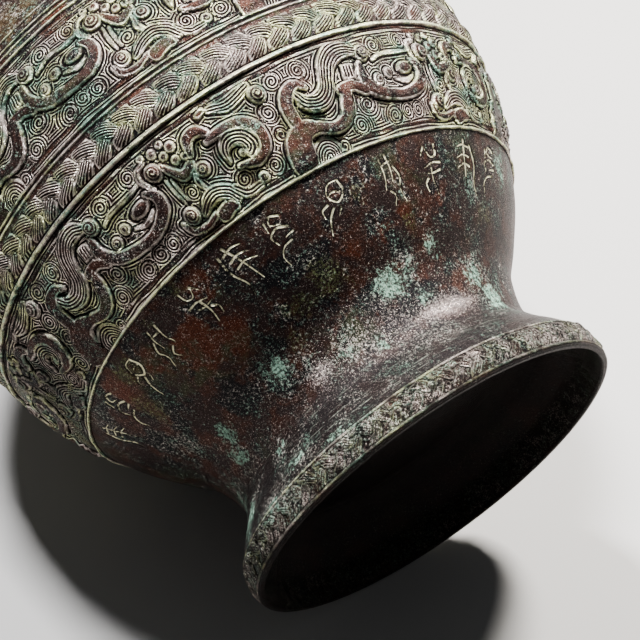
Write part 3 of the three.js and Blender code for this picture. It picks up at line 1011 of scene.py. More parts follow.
@dataclass(frozen=True)
class OldBronze:
    """The patinated bronze: brown skin, red and black patches, green crust, pale edges from wear, painted highlights
    and shade.
    """

    name: str = "old_bronze"
    umber: Colour = (0.026, 0.016, 0.015, 1.0)
    rust: Colour = (0.052, 0.020, 0.013, 1.0)
    red: Colour = (0.072, 0.020, 0.010, 1.0)
    warm: Colour = (0.078, 0.036, 0.027, 1.0)
    gold: Colour = (0.088, 0.052, 0.022, 1.0)
    ash: Colour = (0.015, 0.013, 0.014, 1.0)
    black: Colour = (0.009, 0.009, 0.011, 1.0)
    olive: Colour = (0.034, 0.040, 0.020, 1.0)
    moss: Colour = (0.085, 0.100, 0.038, 1.0)
    green: Colour = (0.078, 0.155, 0.112, 1.0)
    mint: Colour = (0.290, 0.470, 0.360, 1.0)
    # A pale metal colour for flecks, scratches, crumbs and edges, and the colour of the painted glints and highlights.
    bare_and_highlight: Colour = (0.900, 0.770, 0.690, 1.0)
    # The colour of the painted highlights on the waist, the foot and the bands.
    polished_highlight: Colour = (0.360, 0.300, 0.290, 1.0)
    dust: Colour = (0.930, 0.940, 0.520, 1.0)
    groove: Colour = (0.006, 0.005, 0.005, 1.0)
    tint: Colour = (0.30, 0.25, 0.23, 1.0)
    sheen: float = 0.18
    line_height: float = 0.46
    edge_height: float = 0.55
    cut_depth: float = 0.45
    grain_height: float = 0.62

    def make(self) -> bpy.types.Material:
        """Builds the material.

        Returns:
            The material, which reads the casting's own numbers for its lines, edges, cuts and patches.
        """
        material = bpy.data.materials.new(self.name)
        board = Board(material)
        clouds = self.clouds(board)
        carved = self.carved(board, clouds)
        skin = self.skin(board, clouds, carved)
        crust = self.crust(board, clouds, carved)
        colour = self.crusted(board, clouds, crust, skin)
        colour = self.foot(board, clouds, crust, colour)
        colour = self.wear_and_shade(board, clouds, carved, crust, colour)
        height = self.height(board, clouds, carved, crust)

        bump = board.node("ShaderNodeBump")
        bump.inputs["Strength"].default_value = 1.0
        bump.inputs["Distance"].default_value = METRE
        board.link(height, bump.inputs["Height"])
        shader = board.node("ShaderNodeBsdfPrincipled")
        shader.inputs["Specular IOR Level"].default_value = self.sheen
        shader.inputs["Specular Tint"].default_value = self.tint
        grown = board.most(crust.green, crust.flecks)
        rough = board.plus(board.plus(0.16, clouds.speck, 0.32), grown, 0.28)
        rough = board.plus(rough, crust.deep, 0.5)
        rough = board.plus(rough, board.most(crust.bare_and_highlight, crust.edge), -0.12)
        metal = board.plus(board.plus(0.60, crust.bare_and_highlight, 0.35), grown, -0.55)
        board.link(colour, shader.inputs["Base Color"])
        board.link(rough, shader.inputs["Roughness"])
        board.link(metal, shader.inputs["Metallic"])
        board.link(bump.outputs["Normal"], shader.inputs["Normal"])
        board.link(shader.outputs["BSDF"], board.node("ShaderNodeOutputMaterial").inputs["Surface"])
        return material

    @staticmethod
    def clouds(board: Board) -> Clouds:
        """Lays out the noises, from the broadest to the finest.

        Args:
            board: The material's board.

        Returns:
            The noises, with the level over the ground, the foot's carved edge and the plain flare above it.
        """
        place = board.node("ShaderNodeTexCoord").outputs["Object"]
        spot = board.node("ShaderNodeSeparateXYZ")
        board.link(place, spot.inputs[0])
        level = board.math("DIVIDE", spot.outputs[2], METRE)
        outside = board.rise(board.attribute("shade"), 0.1, 0.0)
        return Clouds(
            level=level,
            broad=board.noise(place, 30.0, 6.0, 0.62, 1.0),
            patch=board.noise(place, 75.0, 8.0, 0.70, 2.0, 0.3),
            stain=board.noise(board.stretch(place, (1.0, 1.0, 0.6)), 85.0, 8.0, 0.70, 5.0, 0.3),
            mottle=board.noise(place, 210.0, 7.0, 0.72, 3.0),
            speck=board.noise(place, 900.0, 4.0, 0.75, 4.0),
            grain=board.noise(place, 2200.0, 2.0, 0.60, 6.0),
            veins=board.noise(place, 130.0, 6.0, 0.68, 9.0, 1.4),
            turned=board.noise(board.stretch(place, (0.045, 0.045, 1.0)), 1300.0, 3.0, 0.6, 8.0),
            edging=board.rise(level, 15.0, 11.0),
            flare=board.times(board.rise(level, 11.0, 14.0), board.rise(level, 44.0, 30.0), outside))

    @staticmethod
    def carved(board: Board, clouds: Clouds) -> Carved:
        """Reads the casting's lines, edges and cuts, with their edges frayed.

        Args:
            board: The material's board.
            clouds: The noises.

        Returns:
            Where lines crest and sink, where forms stand, and where their rims, moats and the marks' cuts lie.
        """
        loose = board.sway(board.attribute("form_side"), clouds.mottle, 0.9)
        phase = board.sway(board.attribute("stripe_phase"), clouds.stain, 0.7)
        keep = board.rise(board.halfway(clouds.broad, clouds.mottle), 0.36, 0.47)
        gain = board.times(board.attribute("stripe_gain"), board.plus(0.4, keep, 0.6))
        wave = board.math("COSINE", board.times(phase, math.tau))
        broken = board.plus(0.35, board.rise(clouds.mottle, 0.40, 0.54), 0.65)
        across = board.math("ABSOLUTE", board.attribute("cut_across"))
        within = board.rise(board.attribute("cut_beyond"), 0.6, 0.0)
        return Carved(
            loose=loose, wave=wave, gain=gain,
            crest=board.times(board.rise(wave, 0.25, 0.95), gain),
            trough=board.times(board.rise(wave, 0.35, -0.75), gain),
            raised=board.rise(loose, -0.25, 0.35),
            rim=board.times(board.rise(loose, -0.25, 0.1), board.rise(loose, 0.85, 0.35)),
            moat=board.times(board.rise(loose, -1.05, -0.6), board.rise(loose, -0.05, -0.35), broken,
                             board.plus(1.0, clouds.edging, -0.3)),
            cut=board.times(board.rise(across, 0.62, 0.30), within),
            # The cuts' sides, where painted shadow is laid.
            lip=board.times(board.rise(across, 0.50, 0.75), board.rise(across, 1.55, 1.05), within))

    def skin(self, board: Board, clouds: Clouds, carved: Carved) -> Socket:
        """Colours the bronze's own skin: brown, stained black, with red, mossy, golden and olive patches.

        Args:
            board: The material's board.
            clouds: The noises.
            carved: The casting's lines and edges.

        Returns:
            The skin's colour.
        """
        patch, stain, mottle = clouds.patch, clouds.stain, clouds.mottle
        crown = board.times(board.rise(carved.loose, 0.2, 0.8), board.rise(board.attribute("form_side"), 0.2, 0.8))
        olive = board.times(board.rise(clouds.broad, 0.52, 0.60), board.rise(mottle, 0.42, 0.56), 0.8)
        layers = (
            (board.rise(stain, 0.49, 0.57), self.black),
            (self.ragged(board, "patch_dark", stain, mottle, 0.66), self.black),
            (board.times(self.ragged(board, "patch_red", patch, mottle, 0.66), board.rise(stain, 0.62, 0.54)),
             self.red),
            (board.times(self.ragged(board, "patch_moss", patch, mottle, 0.68), board.rise(clouds.speck, 0.46, 0.60)),
             self.moss),
            (board.times(self.ragged(board, "patch_gold", stain, mottle, 0.66), board.rise(mottle, 0.36, 0.54)),
             self.gold),
            (board.times(crown, board.rise(mottle, 0.44, 0.58), 0.40), self.warm),
            (olive, self.olive),
            (board.times(clouds.flare, 0.75), self.ash),
        )
        skin = board.mix(board.rise(patch, 0.46, 0.58), self.umber, self.rust)
        for share, colour in layers:
            skin = board.mix(share, skin, colour)
        return skin

    def crust(self, board: Board, clouds: Clouds, carved: Carved) -> Crust:
        """Finds where green crust grows, where flecks lie, where highlights and groove shade are painted, and where
        edges are pale from wear and painted highlight.

        Args:
            board: The material's board.
            clouds: The noises.
            carved: The casting's lines and edges.

        Returns:
            The shares of each.
        """
        speck, mottle = clouds.speck, clouds.mottle
        crusted = self.ragged(board, "patch_green", clouds.veins, speck, 0.72)
        dense = board.plus(speck, board.attribute("patch_green"), 0.10)
        cluster = board.times(board.rise(dense, 0.54, 0.61), board.rise(clouds.stain, 0.46, 0.60), 0.7)
        # Painted highlights: the highlight patches, frayed by fine noise, with a lighter colour and smoother, more
        # metallic metal.
        gleam = board.sway(board.attribute("patch_bare_and_highlight"), speck, 2.2)
        # Pale edges and line crests: partly dust and wear, partly painted highlight.
        edge = board.times(board.most(board.times(carved.crest, 0.95), carved.rim),
                           board.plus(0.15, board.rise(mottle, 0.38, 0.58), 0.85),
                           board.plus(1.0, clouds.edging, -0.80), self.dim(board))
        return Crust(
            crusted=crusted,
            green=board.times(crusted, board.rise(speck, 0.34, 0.50)),
            flecks=board.most(cluster, board.times(board.rise(dense, 0.62, 0.67), 0.9)),
            bare_and_highlight=board.times(board.rise(gleam, 0.25, 1.3), board.rise(crusted, 0.8, 0.2)),
            # Painted shade: the troughs between fine lines and the moats round forms are darkened, and made rougher.
            deep=board.most(board.times(carved.trough, 0.92), board.times(carved.moat, 0.98)),
            edge=edge)

    def crusted(self, board: Board, clouds: Clouds, crust: Crust, skin: Socket) -> Socket:
        """Lays flecks, green crust, painted highlights, painted glints and dark pits over the skin.

        Args:
            board: The material's board.
            clouds: The noises.
            crust: The shares of crust, painted highlights, painted groove shade and pale edges.
            skin: The skin's colour.

        Returns:
            The colour with all of them.
        """
        speck, grain = clouds.speck, clouds.grain
        salt = board.mix(board.rise(clouds.patch, 0.44, 0.56), self.mint, self.bare_and_highlight)
        # Painted glints: tiny bright dots, most of them in the highlight patches.
        highlight_patch = board.attribute("patch_bare_and_highlight")
        glint = board.times(board.rise(board.plus(grain, highlight_patch, 0.10), 0.63, 0.69), board.plus(0.5, highlight_patch, 0.5))
        pepper = board.rise(board.halfway(grain, speck), 0.53, 0.42)
        layers = (
            (crust.flecks, board.mix(board.rise(grain, 0.42, 0.58), self.green, salt)),
            (crust.green, board.mix(board.rise(speck, 0.44, 0.60), self.green, self.mint)),
            # Painted highlights, then painted glints.
            (crust.bare_and_highlight, self.polished_highlight),
            (glint, self.bare_and_highlight),
            (board.times(pepper, 0.65), self.groove),
        )
        for share, colour in layers:
            skin = board.mix(share, skin, colour)
        return skin

    def foot(self, board: Board, clouds: Clouds, crust: Crust, colour: Socket) -> Socket:
        """Adds the turned scratches of the foot's flare, and the crumbs and soot of its carved edge.

        Args:
            board: The material's board.
            clouds: The noises.
            crust: The shares of crust, painted highlights, painted groove shade and pale edges.
            colour: The colour so far.

        Returns:
            The colour with all of them.
        """
        mottle, speck = clouds.mottle, clouds.speck
        haze = board.times(clouds.flare, board.rise(crust.crusted, 0.55, 0.0))
        scratch = board.times(board.rise(clouds.turned, 0.56, 0.72), clouds.flare, board.rise(mottle, 0.36, 0.85))
        crumbs = board.times(board.rise(board.halfway(clouds.grain, speck), 0.49, 0.58), clouds.edging,
                             board.rise(clouds.level, 1.2, 2.6), self.dim(board), board.rise(mottle, 0.40, 0.56), 0.7)
        soot = board.times(board.rise(board.halfway(speck, mottle), 0.51, 0.42), clouds.edging, 0.9)
        colour = board.mix(haze, colour, board.mix(0.35, colour, self.ash))
        colour = board.mix(scratch, colour, board.mix(0.4, self.mint, self.bare_and_highlight))
        colour = board.mix(crumbs, colour, board.mix(board.rise(clouds.patch, 0.44, 0.54), self.bare_and_highlight, self.mint))
        return board.mix(soot, colour, self.groove)

    def wear_and_shade(self, board: Board, clouds: Clouds, carved: Carved, crust: Crust, colour: Socket) -> Socket:
        """Paints shade into grooves, beside the cuts, inside and along the foot's sole, and brightens edges (wear and
        painted highlight), raised lines and the marks' filling.

        Args:
            board: The material's board.
            clouds: The noises.
            carved: The casting's lines and edges.
            crust: The shares of crust, painted highlights, painted groove shade and pale edges.
            colour: The colour so far.

        Returns:
            The finished colour.
        """
        patch, mottle, speck = clouds.patch, clouds.mottle, clouds.speck
        kind = board.rise(board.halfway(clouds.stain, clouds.broad), 0.45, 0.53)
        pale = board.mix(kind, self.bare_and_highlight, board.mix(board.rise(patch, 0.40, 0.55), self.mint, self.dust))
        fray = board.attribute("line_top")
        for noise, share in ((mottle, 2.0), (speck, 1.5), (patch, 2.0)):
            fray = board.sway(fray, noise, share)
        filled = board.rise(board.sway(mottle, speck, 0.6), 0.40, 0.53)
        # Painted shade along the foot's bottom edge and underside.
        sole = board.times(board.rise(clouds.level, 1.5, 0.4), 0.8)
        layers = (
            # Painted shade in the troughs and moats.
            (crust.deep, self.groove),
            # Pale edges from wear, partly painted highlight.
            (crust.edge, pale),
            (board.times(board.rise(fray, 0.45, 1.10), 0.9), board.mix(board.rise(patch, 0.52, 0.62), self.dust,
                                                                       self.mint)),
            # Painted shadow along the sides of the marks' cuts.
            (board.times(carved.lip, 0.85), self.groove),
            (board.times(carved.cut, 0.9), board.mix(filled, self.groove, board.mix(0.35, self.dust, self.bare_and_highlight))),
            # Painted shade inside the foot and the vessel, and along the foot's bottom edge.
            (board.most(board.attribute("shade"), sole), self.groove),
        )
        for share, layer in layers:
            colour = board.mix(share, colour, layer)
        return colour

    def height(self, board: Board, clouds: Clouds, carved: Carved, crust: Crust) -> Socket:
        """Sums up the fine relief, in millimetres.

        Args:
            board: The material's board.
            clouds: The noises.
            carved: The casting's lines and edges.
            crust: The shares of crust, painted highlights, painted groove shade and pale edges.

        Returns:
            The height of the fine relief.
        """
        edge, grain = self.edge_height, self.grain_height
        height = board.times(carved.wave, carved.gain, self.line_height / 2)
        for value, share in (
                (carved.raised, edge), (carved.rim, edge * 0.35), (carved.moat, edge * -0.6),
                (carved.cut, -self.cut_depth), (board.times(clouds.turned, clouds.flare), grain * 0.35),
                (clouds.grain, grain * 0.40), (clouds.speck, grain * 0.55), (clouds.mottle, grain),
                (board.times(clouds.speck, clouds.edging), grain * 2.0),
                (board.most(crust.green, crust.flecks), grain * 0.3)):
            height = board.plus(height, value, share)
        return height

    @staticmethod
    def dim(board: Board) -> Socket:
        """Returns how much of the pale edges and crumbs the dark patches leave."""
        return board.plus(1.0, board.attribute("patch_dark"), -0.6)

    @staticmethod
    def ragged(board: Board, name: str, coarse: Socket, fine: Socket, level: float) -> Socket:
        """Breaks the casting's soft patches up into ragged ones.

        Args:
            board: The material's board.
            name: The casting's number for the patches.
            coarse: Noise that moves the patches' edges far.
            fine: Noise that frays them.
            level: The level at which a patch starts.

        Returns:
            The ragged patches, 0 to 1.
        """
        total = board.plus(board.times(coarse, 0.7), board.attribute(name), 0.34)
        return board.rise(board.plus(total, fine, 0.3), level, level + 0.10)


@dataclass(frozen=True)
class Line:
    """A raised line round the vessel, by the wall length of its middle."""

    length: float
    width: float
    rise: float
    room: float = 0.7
    pale: float = 1.0

    def rows(self) -> list[float]:
        """Returns the wall lengths at which the line's section turns."""
        half = self.width / 2
        return [self.length + step for step in (-half - 0.35, -half + 0.1, 0.0, half - 0.1, half + 0.35)]

    def band(self) -> Band:
        """Makes the line a band of its own.

        Returns:
            The band, which holds the line and a little room on both sides.
        """
        low = self.length - self.width / 2 - self.room
        line = Border(rise=self.rise, shoulder=0.45, at_y=self.length - low, width=self.width)
        high = low + self.width + 2 * self.room
        return Band("", low, high, math.tau * GIRTH, 0.0, [line], ground=False, sway=0.0, wear=0.35)


@dataclass
class Rings:
    """The rings of points that the casting's skin is stitched from, in order along its section."""

    angles: np.ndarray
    places: list[np.ndarray] = field(default_factory=list)
    tags: list[np.ndarray] = field(default_factory=list)

    def turn(self, divisor: int) -> np.ndarray:
        """Returns the angles of a ring that keeps one column of so many."""
        return self.angles[::divisor]

    def girth(self, divisor: int) -> np.ndarray:
        """Returns the girth lengths of such a ring, 0 at the front."""
        return ((self.turn(divisor) + math.pi) % math.tau - math.pi) * GIRTH

    def add(self, radius: np.ndarray | float, height: np.ndarray | float, divisor: int, length: float = 0.0,
            outer: bool = False, shade: float = 0.0) -> None:
        """Adds one ring with what the finish needs to know of its points.

        Args:
            radius: The points' distance from the upright axis.
            height: Their height.
            divisor: The ring keeps one column of so many.
            length: Their length along the wall.
            outer: Whether they lie on the outer wall.
            shade: How much painted shade darkens them.
        """
        turn = self.turn(divisor)
        spread = np.ones(turn.shape)
        radii = radius * spread
        self.places.append(np.stack([radii * np.sin(turn), -radii * np.cos(turn), height * spread], axis=1))
        self.tags.append(np.stack([self.girth(divisor), length * spread, outer * spread, shade * spread], axis=1))


@dataclass
class Casting:
    """The whole vessel as one closed casting."""

    wall: Wall = field(default_factory=Wall)
    inscription: Inscription = field(default_factory=Inscription)
    patina: Patina = field(default_factory=Patina)
    columns: int = 496
    front_share: float = 0.58
    front_half_angle: float = 74.0
    mouth_band_height: float = 18.0
    mouth_band_rise: float = 1.6
    lip_round: float = 0.8
    roof_round: float = 4.0
    floor_round: float = 7.0
    mark_depth: float = 0.3
    mark_reach: float = 16.0
    lines: tuple[Line, ...] = (
        Line(1.6, 0.9, 0.5, pale=0.35), Line(12.9, 1.0, 0.4, pale=0.15),
        Line(112.5, 1.1, 1.2), Line(158.0, 1.7, 1.9, 1.0), Line(175.0, 0.9, 0.6, pale=0.5),
        Line(177.3, 0.9, 0.6, pale=0.5), Line(224.0, 1.2, 0.9, pale=0.8), Line(227.4, 0.8, 0.5, pale=0.5),
        Line(230.0, 0.8, 0.5, pale=0.5), Line(234.5, 0.8, 0.5, pale=0.5), Line(350.2, 1.8, 0.9),
        Line(355.6, 1.8, 0.9))

    def bands(self) -> list[Band]:
        """Lays out the bands of carving from the foot up.

        Returns:
            The four carved bands, and a band for each raised line.
        """
        around = math.tau * GIRTH
        foot_copies, rope_copies, blocks = 60, 78, 6
        foot_period = around / foot_copies
        rope_period = around / rope_copies
        block = around / blocks
        made = [
            Band("foot plait", 2.9, 11.8, foot_period, 0.0, plait_forms(foot_period, 8.9, 1.5, 0.6),
                 pitch=1.1, ground=False, parted=True, wear=0.75),
            Band("lower dragons", 113.8, 156.0, block, 0.0, dragon_forms()),
            Band("rope", 160.0, 172.6, rope_period, 0.0, plait_forms(rope_period, 12.6, 1.9, 1.0),
                 pitch=1.02, ground=False, parted=True, wear=0.3),
            Band("upper dragons", 178.5, 222.6, block, 16.0, dragon_forms(2.4)),
        ]
        return made + [line.band() for line in self.lines]

    def rows(self) -> list[tuple[float, int]]:
        """Plans the outer wall's rows.

        Returns:
            The wall length of each row and the divisor of its columns.
        """
        spans = ((0.8, 0.8, 4), (3.2, 1.2, 2), (11.8, 1.25, 2), (17.0, 1.3, 2), (36.0, 3.4, 2), (80.0, 3.6, 2),
                 (111.0, 1.2, 1), (113.8, 1.2, 1), (156.0, 1.25, 1), (160.0, 1.2, 1), (172.6, 1.05, 1),
                 (178.5, 1.2, 1), (222.6, 1.3, 1), (231.2, 1.2, 1), (240.0, 2.4, 2), (348.0, 6.5, 4),
                 (358.0, 2.0, 4), (float(self.wall.length_at(421.5)), 8.0, 4),
                 (float(self.wall.length_at(424.5)), 0.8, 4), (float(self.wall.lengths[-1]), 4.5, 4))
        marks = [(0.0, 4)]
        for end, spacing, divisor in spans:
            start = marks[-1][0]
            count = max(1, round((end - start) / spacing))
            marks += [(start + (end - start) * (i + 1) / count, divisor) for i in range(count)]
        for line in self.lines:
            turns = line.rows()
            clear = 0.45
            divisor = min(d for length, d in marks if abs(length - line.length) < 8.0)
            marks = [mark for mark in marks if not turns[0] - clear < mark[0] < turns[-1] + clear]
            marks += [(length, divisor) for length in turns]
        return sorted(marks)

    def angles(self) -> np.ndarray:
        """Spaces the columns, closer together on the vessel's front.

        Returns:
            The columns' angles, once round.
        """
        half = math.radians(self.front_half_angle)
        front = round(self.columns * self.front_share / 8) * 8
        back = self.columns - front
        near = np.linspace(-half, half, front, endpoint=False)
        far = np.linspace(half, math.tau - half, back, endpoint=False)
        return np.concatenate([near, far])

    def mouth_lift(self, height: float) -> float:
        """Returns how far the plain mouth band stands out at a height."""
        low = self.wall.total_height - self.mouth_band_height
        return self.mouth_band_rise * float(smooth_step(low, low + self.mouth_band_rise, np.array(height)))

    def inner_radius(self, height: float, thickness: float) -> float:
        """Returns the radius of the inner side of a wall of that thickness at a height."""
        return float(self.wall.inside(np.array([height]), thickness)[0])

    def foot_hollow(self, rings: Rings, roof: float) -> None:
        """Adds the hollow under the floor, from its roof's middle down to the foot's edge.

        Args:
            rings: The rings so far.
            roof: The roof's height.
        """
        wall = self.wall
        flat = self.inner_radius(roof, wall.foot_thickness) - self.roof_round
        # The shade numbers paint shade into the hollow under the floor.
        for share in (0.12, 0.4, 0.7, 0.9):
            rings.add(flat * share, roof, 8, shade=0.95)
        rings.add(flat, roof, 4, shade=0.95)
        for height in np.linspace(roof - self.roof_round, self.lip_round, 9):
            share = min(height / (roof - self.roof_round), 1.0)
            thick = wall.foot_lip + (wall.foot_thickness - wall.foot_lip) * share
            rings.add(self.inner_radius(height, thick), height, 4, -height, shade=0.75 + 0.2 * share)
        rings.add(wall.foot_radius - wall.foot_lip + self.lip_round * 0.6, 0.0, 4, -0.4, shade=0.1)
        rings.add(wall.foot_radius - self.lip_round, 0.0, 4, -0.2, outer=True)

    def outer_wall(self, rings: Rings, bands: list[Band]) -> None:
        """Adds the outer wall with its carving, from the foot's edge up to the mouth.

        Args:
            rings: The rings so far.
            bands: The bands of carving.
        """
        wall = self.wall
        for length, divisor in self.rows():
            girth = rings.girth(divisor)
            lengths = np.full(girth.shape, length)
            height = wall.height_at(lengths)
            if length == 0.0:
                height = height + self.lip_round / 2
            lift = self.mouth_lift(float(height[0])) + self.relief_lift(bands, girth, lengths)
            lift = lift - self.cut_lift(girth, lengths) + self.unevenness(girth, lengths)
            out, up = wall.normal(height)
            rings.add(wall.radius(height) + out * lift, height + up * lift, divisor, length, outer=True)

    def inside(self, rings: Rings, floor_top: float) -> None:
        """Adds the mouth's edge and the inside, down to the floor's middle.

        Args:
            rings: The rings so far.
            floor_top: The floor's height.
        """
        wall = self.wall
        top = wall.total_height
        lip_out = wall.mouth_radius + self.mouth_band_rise - self.lip_round
        lip_in = self.inner_radius(top, wall.thickness) + self.lip_round
        for radius in (lip_out, lip_in):
            rings.add(radius, top, 4, wall.lengths[-1], outer=True)
        heights = np.linspace(top - 6.0, floor_top + self.floor_round, 34)
        # The shade numbers paint shade inside the vessel.
        for height in np.concatenate([[top - self.lip_round], heights]):
            rings.add(self.inner_radius(height, wall.thickness), height, 4, float(wall.length_at(height)), shade=0.25)
        floor_radius = self.inner_radius(floor_top, wall.thickness)
        for drop, back in ((0.35, 1.4), (0.85, 4.0)):
            rings.add(floor_radius - back, floor_top + self.floor_round * (1 - drop), 4, shade=0.3)
        for share in (1.0, 0.75, 0.45, 0.15):
            rings.add((floor_radius - self.floor_round) * share, floor_top, 8, shade=0.4)

    def build(self) -> bpy.types.Object:
        """Makes the casting's mesh with its numbers for the finish.

        Returns:
            The casting as one object at the row's origin.
        """
        roof = self.wall.waist_height - self.wall.floor_thickness / 2
        floor_top = roof + self.wall.floor_thickness
        bands = self.bands()
        rings = Rings(self.angles())
        self.foot_hollow(rings, roof)
        self.outer_wall(rings, bands)
        self.inside(rings, floor_top)
        points, faces = self.closed(rings, roof, floor_top)
        tag = np.concatenate(rings.tags + [np.array([[0.0, 0.0, 0.0, 0.5]] * 2)])
        log.info("casting: %s; %d points, %d triangles", ", ".join(band.name for band in bands if band.name),
                 len(points), len(faces))
        return self.to_object(points, faces, tag, bands)

    def closed(self, rings: Rings, roof: float, floor_top: float) -> tuple[np.ndarray, np.ndarray]:
        """Stitches the rings and closes the roof's and the floor's middle with fans.

        Args:
            rings: All rings.
            roof: The height of the first fan.
            floor_top: The height of the last one.

        Returns:
            The points, and the triangles as three points each.
        """
        sizes = [len(ring) for ring in rings.places]
        starts = np.concatenate([[0], np.cumsum(sizes)])
        triangles = [self.stitch(starts[i], sizes[i], starts[i + 1], sizes[i + 1]) for i in range(len(sizes) - 1)]
        middles = ((0, roof), (len(sizes) - 1, floor_top))
        for number, (ring, _) in enumerate(middles):
            around = np.arange(sizes[ring])
            first, second = starts[ring] + around, starts[ring] + (around + 1) % sizes[ring]
            fan = np.stack([np.full(sizes[ring], starts[-1] + number), first, second], axis=1)
            triangles.append(fan[:, ::-1] if number == 0 else fan)
        points = np.concatenate(rings.places + [np.array([(0.0, 0.0, height) for _, height in middles])])
        return points, np.concatenate(triangles)

    @staticmethod
    def stitch(low: int, low_size: int, high: int, high_size: int) -> np.ndarray:
        """Joins two rings of points with triangles, where one may have fewer points than the other.

        Args:
            low: The first point of the lower ring.
            low_size: The lower ring's points.
            high: The first point of the upper ring.
            high_size: The upper ring's points.

        Returns:
            Triangles whose faces point outward where the rings go up the outer wall.
        """
        coarse = min(low_size, high_size)
        j = np.arange(coarse)
        step_low, step_high = low_size // coarse, high_size // coarse
        a = low + j * step_low
        b = low + ((j + 1) * step_low) % low_size
        c = high + j * step_high
        d = high + ((j + 1) * step_high) % high_size
        if step_low == step_high:
            return np.concatenate([np.stack([a, b, d], axis=1), np.stack([a, d, c], axis=1)])
        if step_high == 2:
            m = high + j * 2 + 1
            return np.concatenate([np.stack([a, m, c], axis=1), np.stack([a, b, m], axis=1),
                                   np.stack([b, d, m], axis=1)])
        m = low + j * 2 + 1
        return np.concatenate([np.stack([a, m, c], axis=1), np.stack([m, d, c], axis=1),
                               np.stack([m, b, d], axis=1)])

    def relief_lift(self, bands: list[Band], girth: np.ndarray, length: np.ndarray) -> np.ndarray:
        """Measures the carving on a ring of the outer wall.

        Args:
            bands: The bands of carving.
            girth: Girth lengths of the points.
            length: Wall lengths of the points.

        Returns:
            How high the carving stands at each point.
        """
        lift = np.zeros(girth.shape)
        for band in bands:
            inside = (length > band.low) & (length < band.high)
            if inside.any():
                x, y = band.local(girth[inside], length[inside])
                lift[inside] = band.measure(x, y, x, y).lift * band.keep(girth[inside], length[inside])
        return lift

    def cut_lift(self, girth: np.ndarray, length: np.ndarray) -> np.ndarray:
        """Measures the marks on a ring of the outer wall.

        Args:
            girth: Girth lengths of the points.
            length: Wall lengths of the points.

        Returns:
            How deep the marks are cut at each point.
        """
        if abs(float(length[0]) - self.inscription.middle) > self.mark_reach:
            return np.zeros(girth.shape)
        across, beyond = self.inscription.measure(girth, length, girth, length)
        distance = np.hypot(across, np.maximum(beyond, 0.0))
        return self.mark_depth * smooth_step(1.1, 0.2, distance)

    @staticmethod
    def unevenness(girth: np.ndarray, length: np.ndarray) -> np.ndarray:
        """Returns the slight swells of a cast and buried wall."""
        angle = girth / GIRTH
        swell = 0.18 * np.sin(3 * angle + length / 31.0) + 0.12 * np.sin(7 * angle - length / 17.0)
        return swell * smooth_step(2.0, 12.0, length)

    def to_object(self, points: np.ndarray, faces: np.ndarray, tag: np.ndarray,
                  bands: list[Band]) -> bpy.types.Object:
        """Writes points, triangles and the finish's numbers into a mesh.

        Args:
            points: The places of the points, in millimetres.
            faces: Three points a triangle.
            tag: The girth length, wall length, outer flag and shade of each point.
            bands: The bands of carving.

        Returns:
            The finished object.
        """
        mesh = bpy.data.meshes.new("hu_vessel")
        mesh.vertices.add(len(points))
        mesh.vertices.foreach_set("co", (points * METRE).astype(np.float32).ravel())
        mesh.loops.add(faces.size)
        mesh.loops.foreach_set("vertex_index", faces.astype(np.int32).ravel())
        mesh.polygons.add(len(faces))
        mesh.polygons.foreach_set("loop_start", np.arange(0, faces.size, 3, dtype=np.int32))
        mesh.update(calc_edges=True)
        mesh.validate()
        mesh.shade_smooth()
        for domain, columns in (("CORNER", self.corner_numbers(faces, tag, bands)),
                                ("POINT", self.point_numbers(points, tag))):
            for name, values in columns.items():
                layer = mesh.attributes.new(name, "FLOAT", domain)
                layer.data.foreach_set("value", values.astype(np.float32).ravel())
        made = bpy.data.objects.new("hu_vessel", mesh)
        bpy.context.scene.collection.objects.link(made)
        return made

    def corner_numbers(self, faces: np.ndarray, tag: np.ndarray, bands: list[Band]) -> dict[str, np.ndarray]:
        """Measures each triangle's corners by the forms and strokes that rule its middle.

        Args:
            faces: Three points a triangle.
            tag: The girth length, wall length, outer flag and shade of each point.
            bands: The bands of carving.

        Returns:
            The corners' places inside forms, on lines and across strokes, by name.
        """
        around = math.tau * GIRTH
        girth, length = tag[:, 0][faces], tag[:, 1][faces]
        outer = tag[:, 2][faces].min(axis=1) > 0.5
        girth = girth - around * np.round((girth - girth[:, :1]) / around)
        middle_girth = np.repeat(girth.mean(axis=1, keepdims=True), 3, axis=1)
        middle_length = np.repeat(length.mean(axis=1, keepdims=True), 3, axis=1)
        side = np.full(faces.shape, FAR_OUTSIDE)
        phase, gain = np.zeros(faces.shape), np.zeros(faces.shape)
        for band in bands:
            pick = outer & (middle_length[:, 0] > band.low) & (middle_length[:, 0] < band.high)
            x, y = band.local(girth[pick], length[pick])
            relief = band.measure(x, y, *band.local(middle_girth[pick], middle_length[pick]))
            side[pick], phase[pick] = relief.side, relief.phase
            gain[pick] = relief.gain * band.keep(girth[pick], length[pick])
        across, beyond = np.full(faces.shape, -FAR_OUTSIDE), np.full(faces.shape, -FAR_OUTSIDE)
        near = outer & (np.abs(middle_length[:, 0] - self.inscription.middle) < self.mark_reach)
        across[near], beyond[near] = self.inscription.measure(
            girth[near], length[near], middle_girth[near], middle_length[near])
        return {"form_side": side, "stripe_phase": phase, "stripe_gain": gain, "cut_across": across,
                "cut_beyond": beyond}

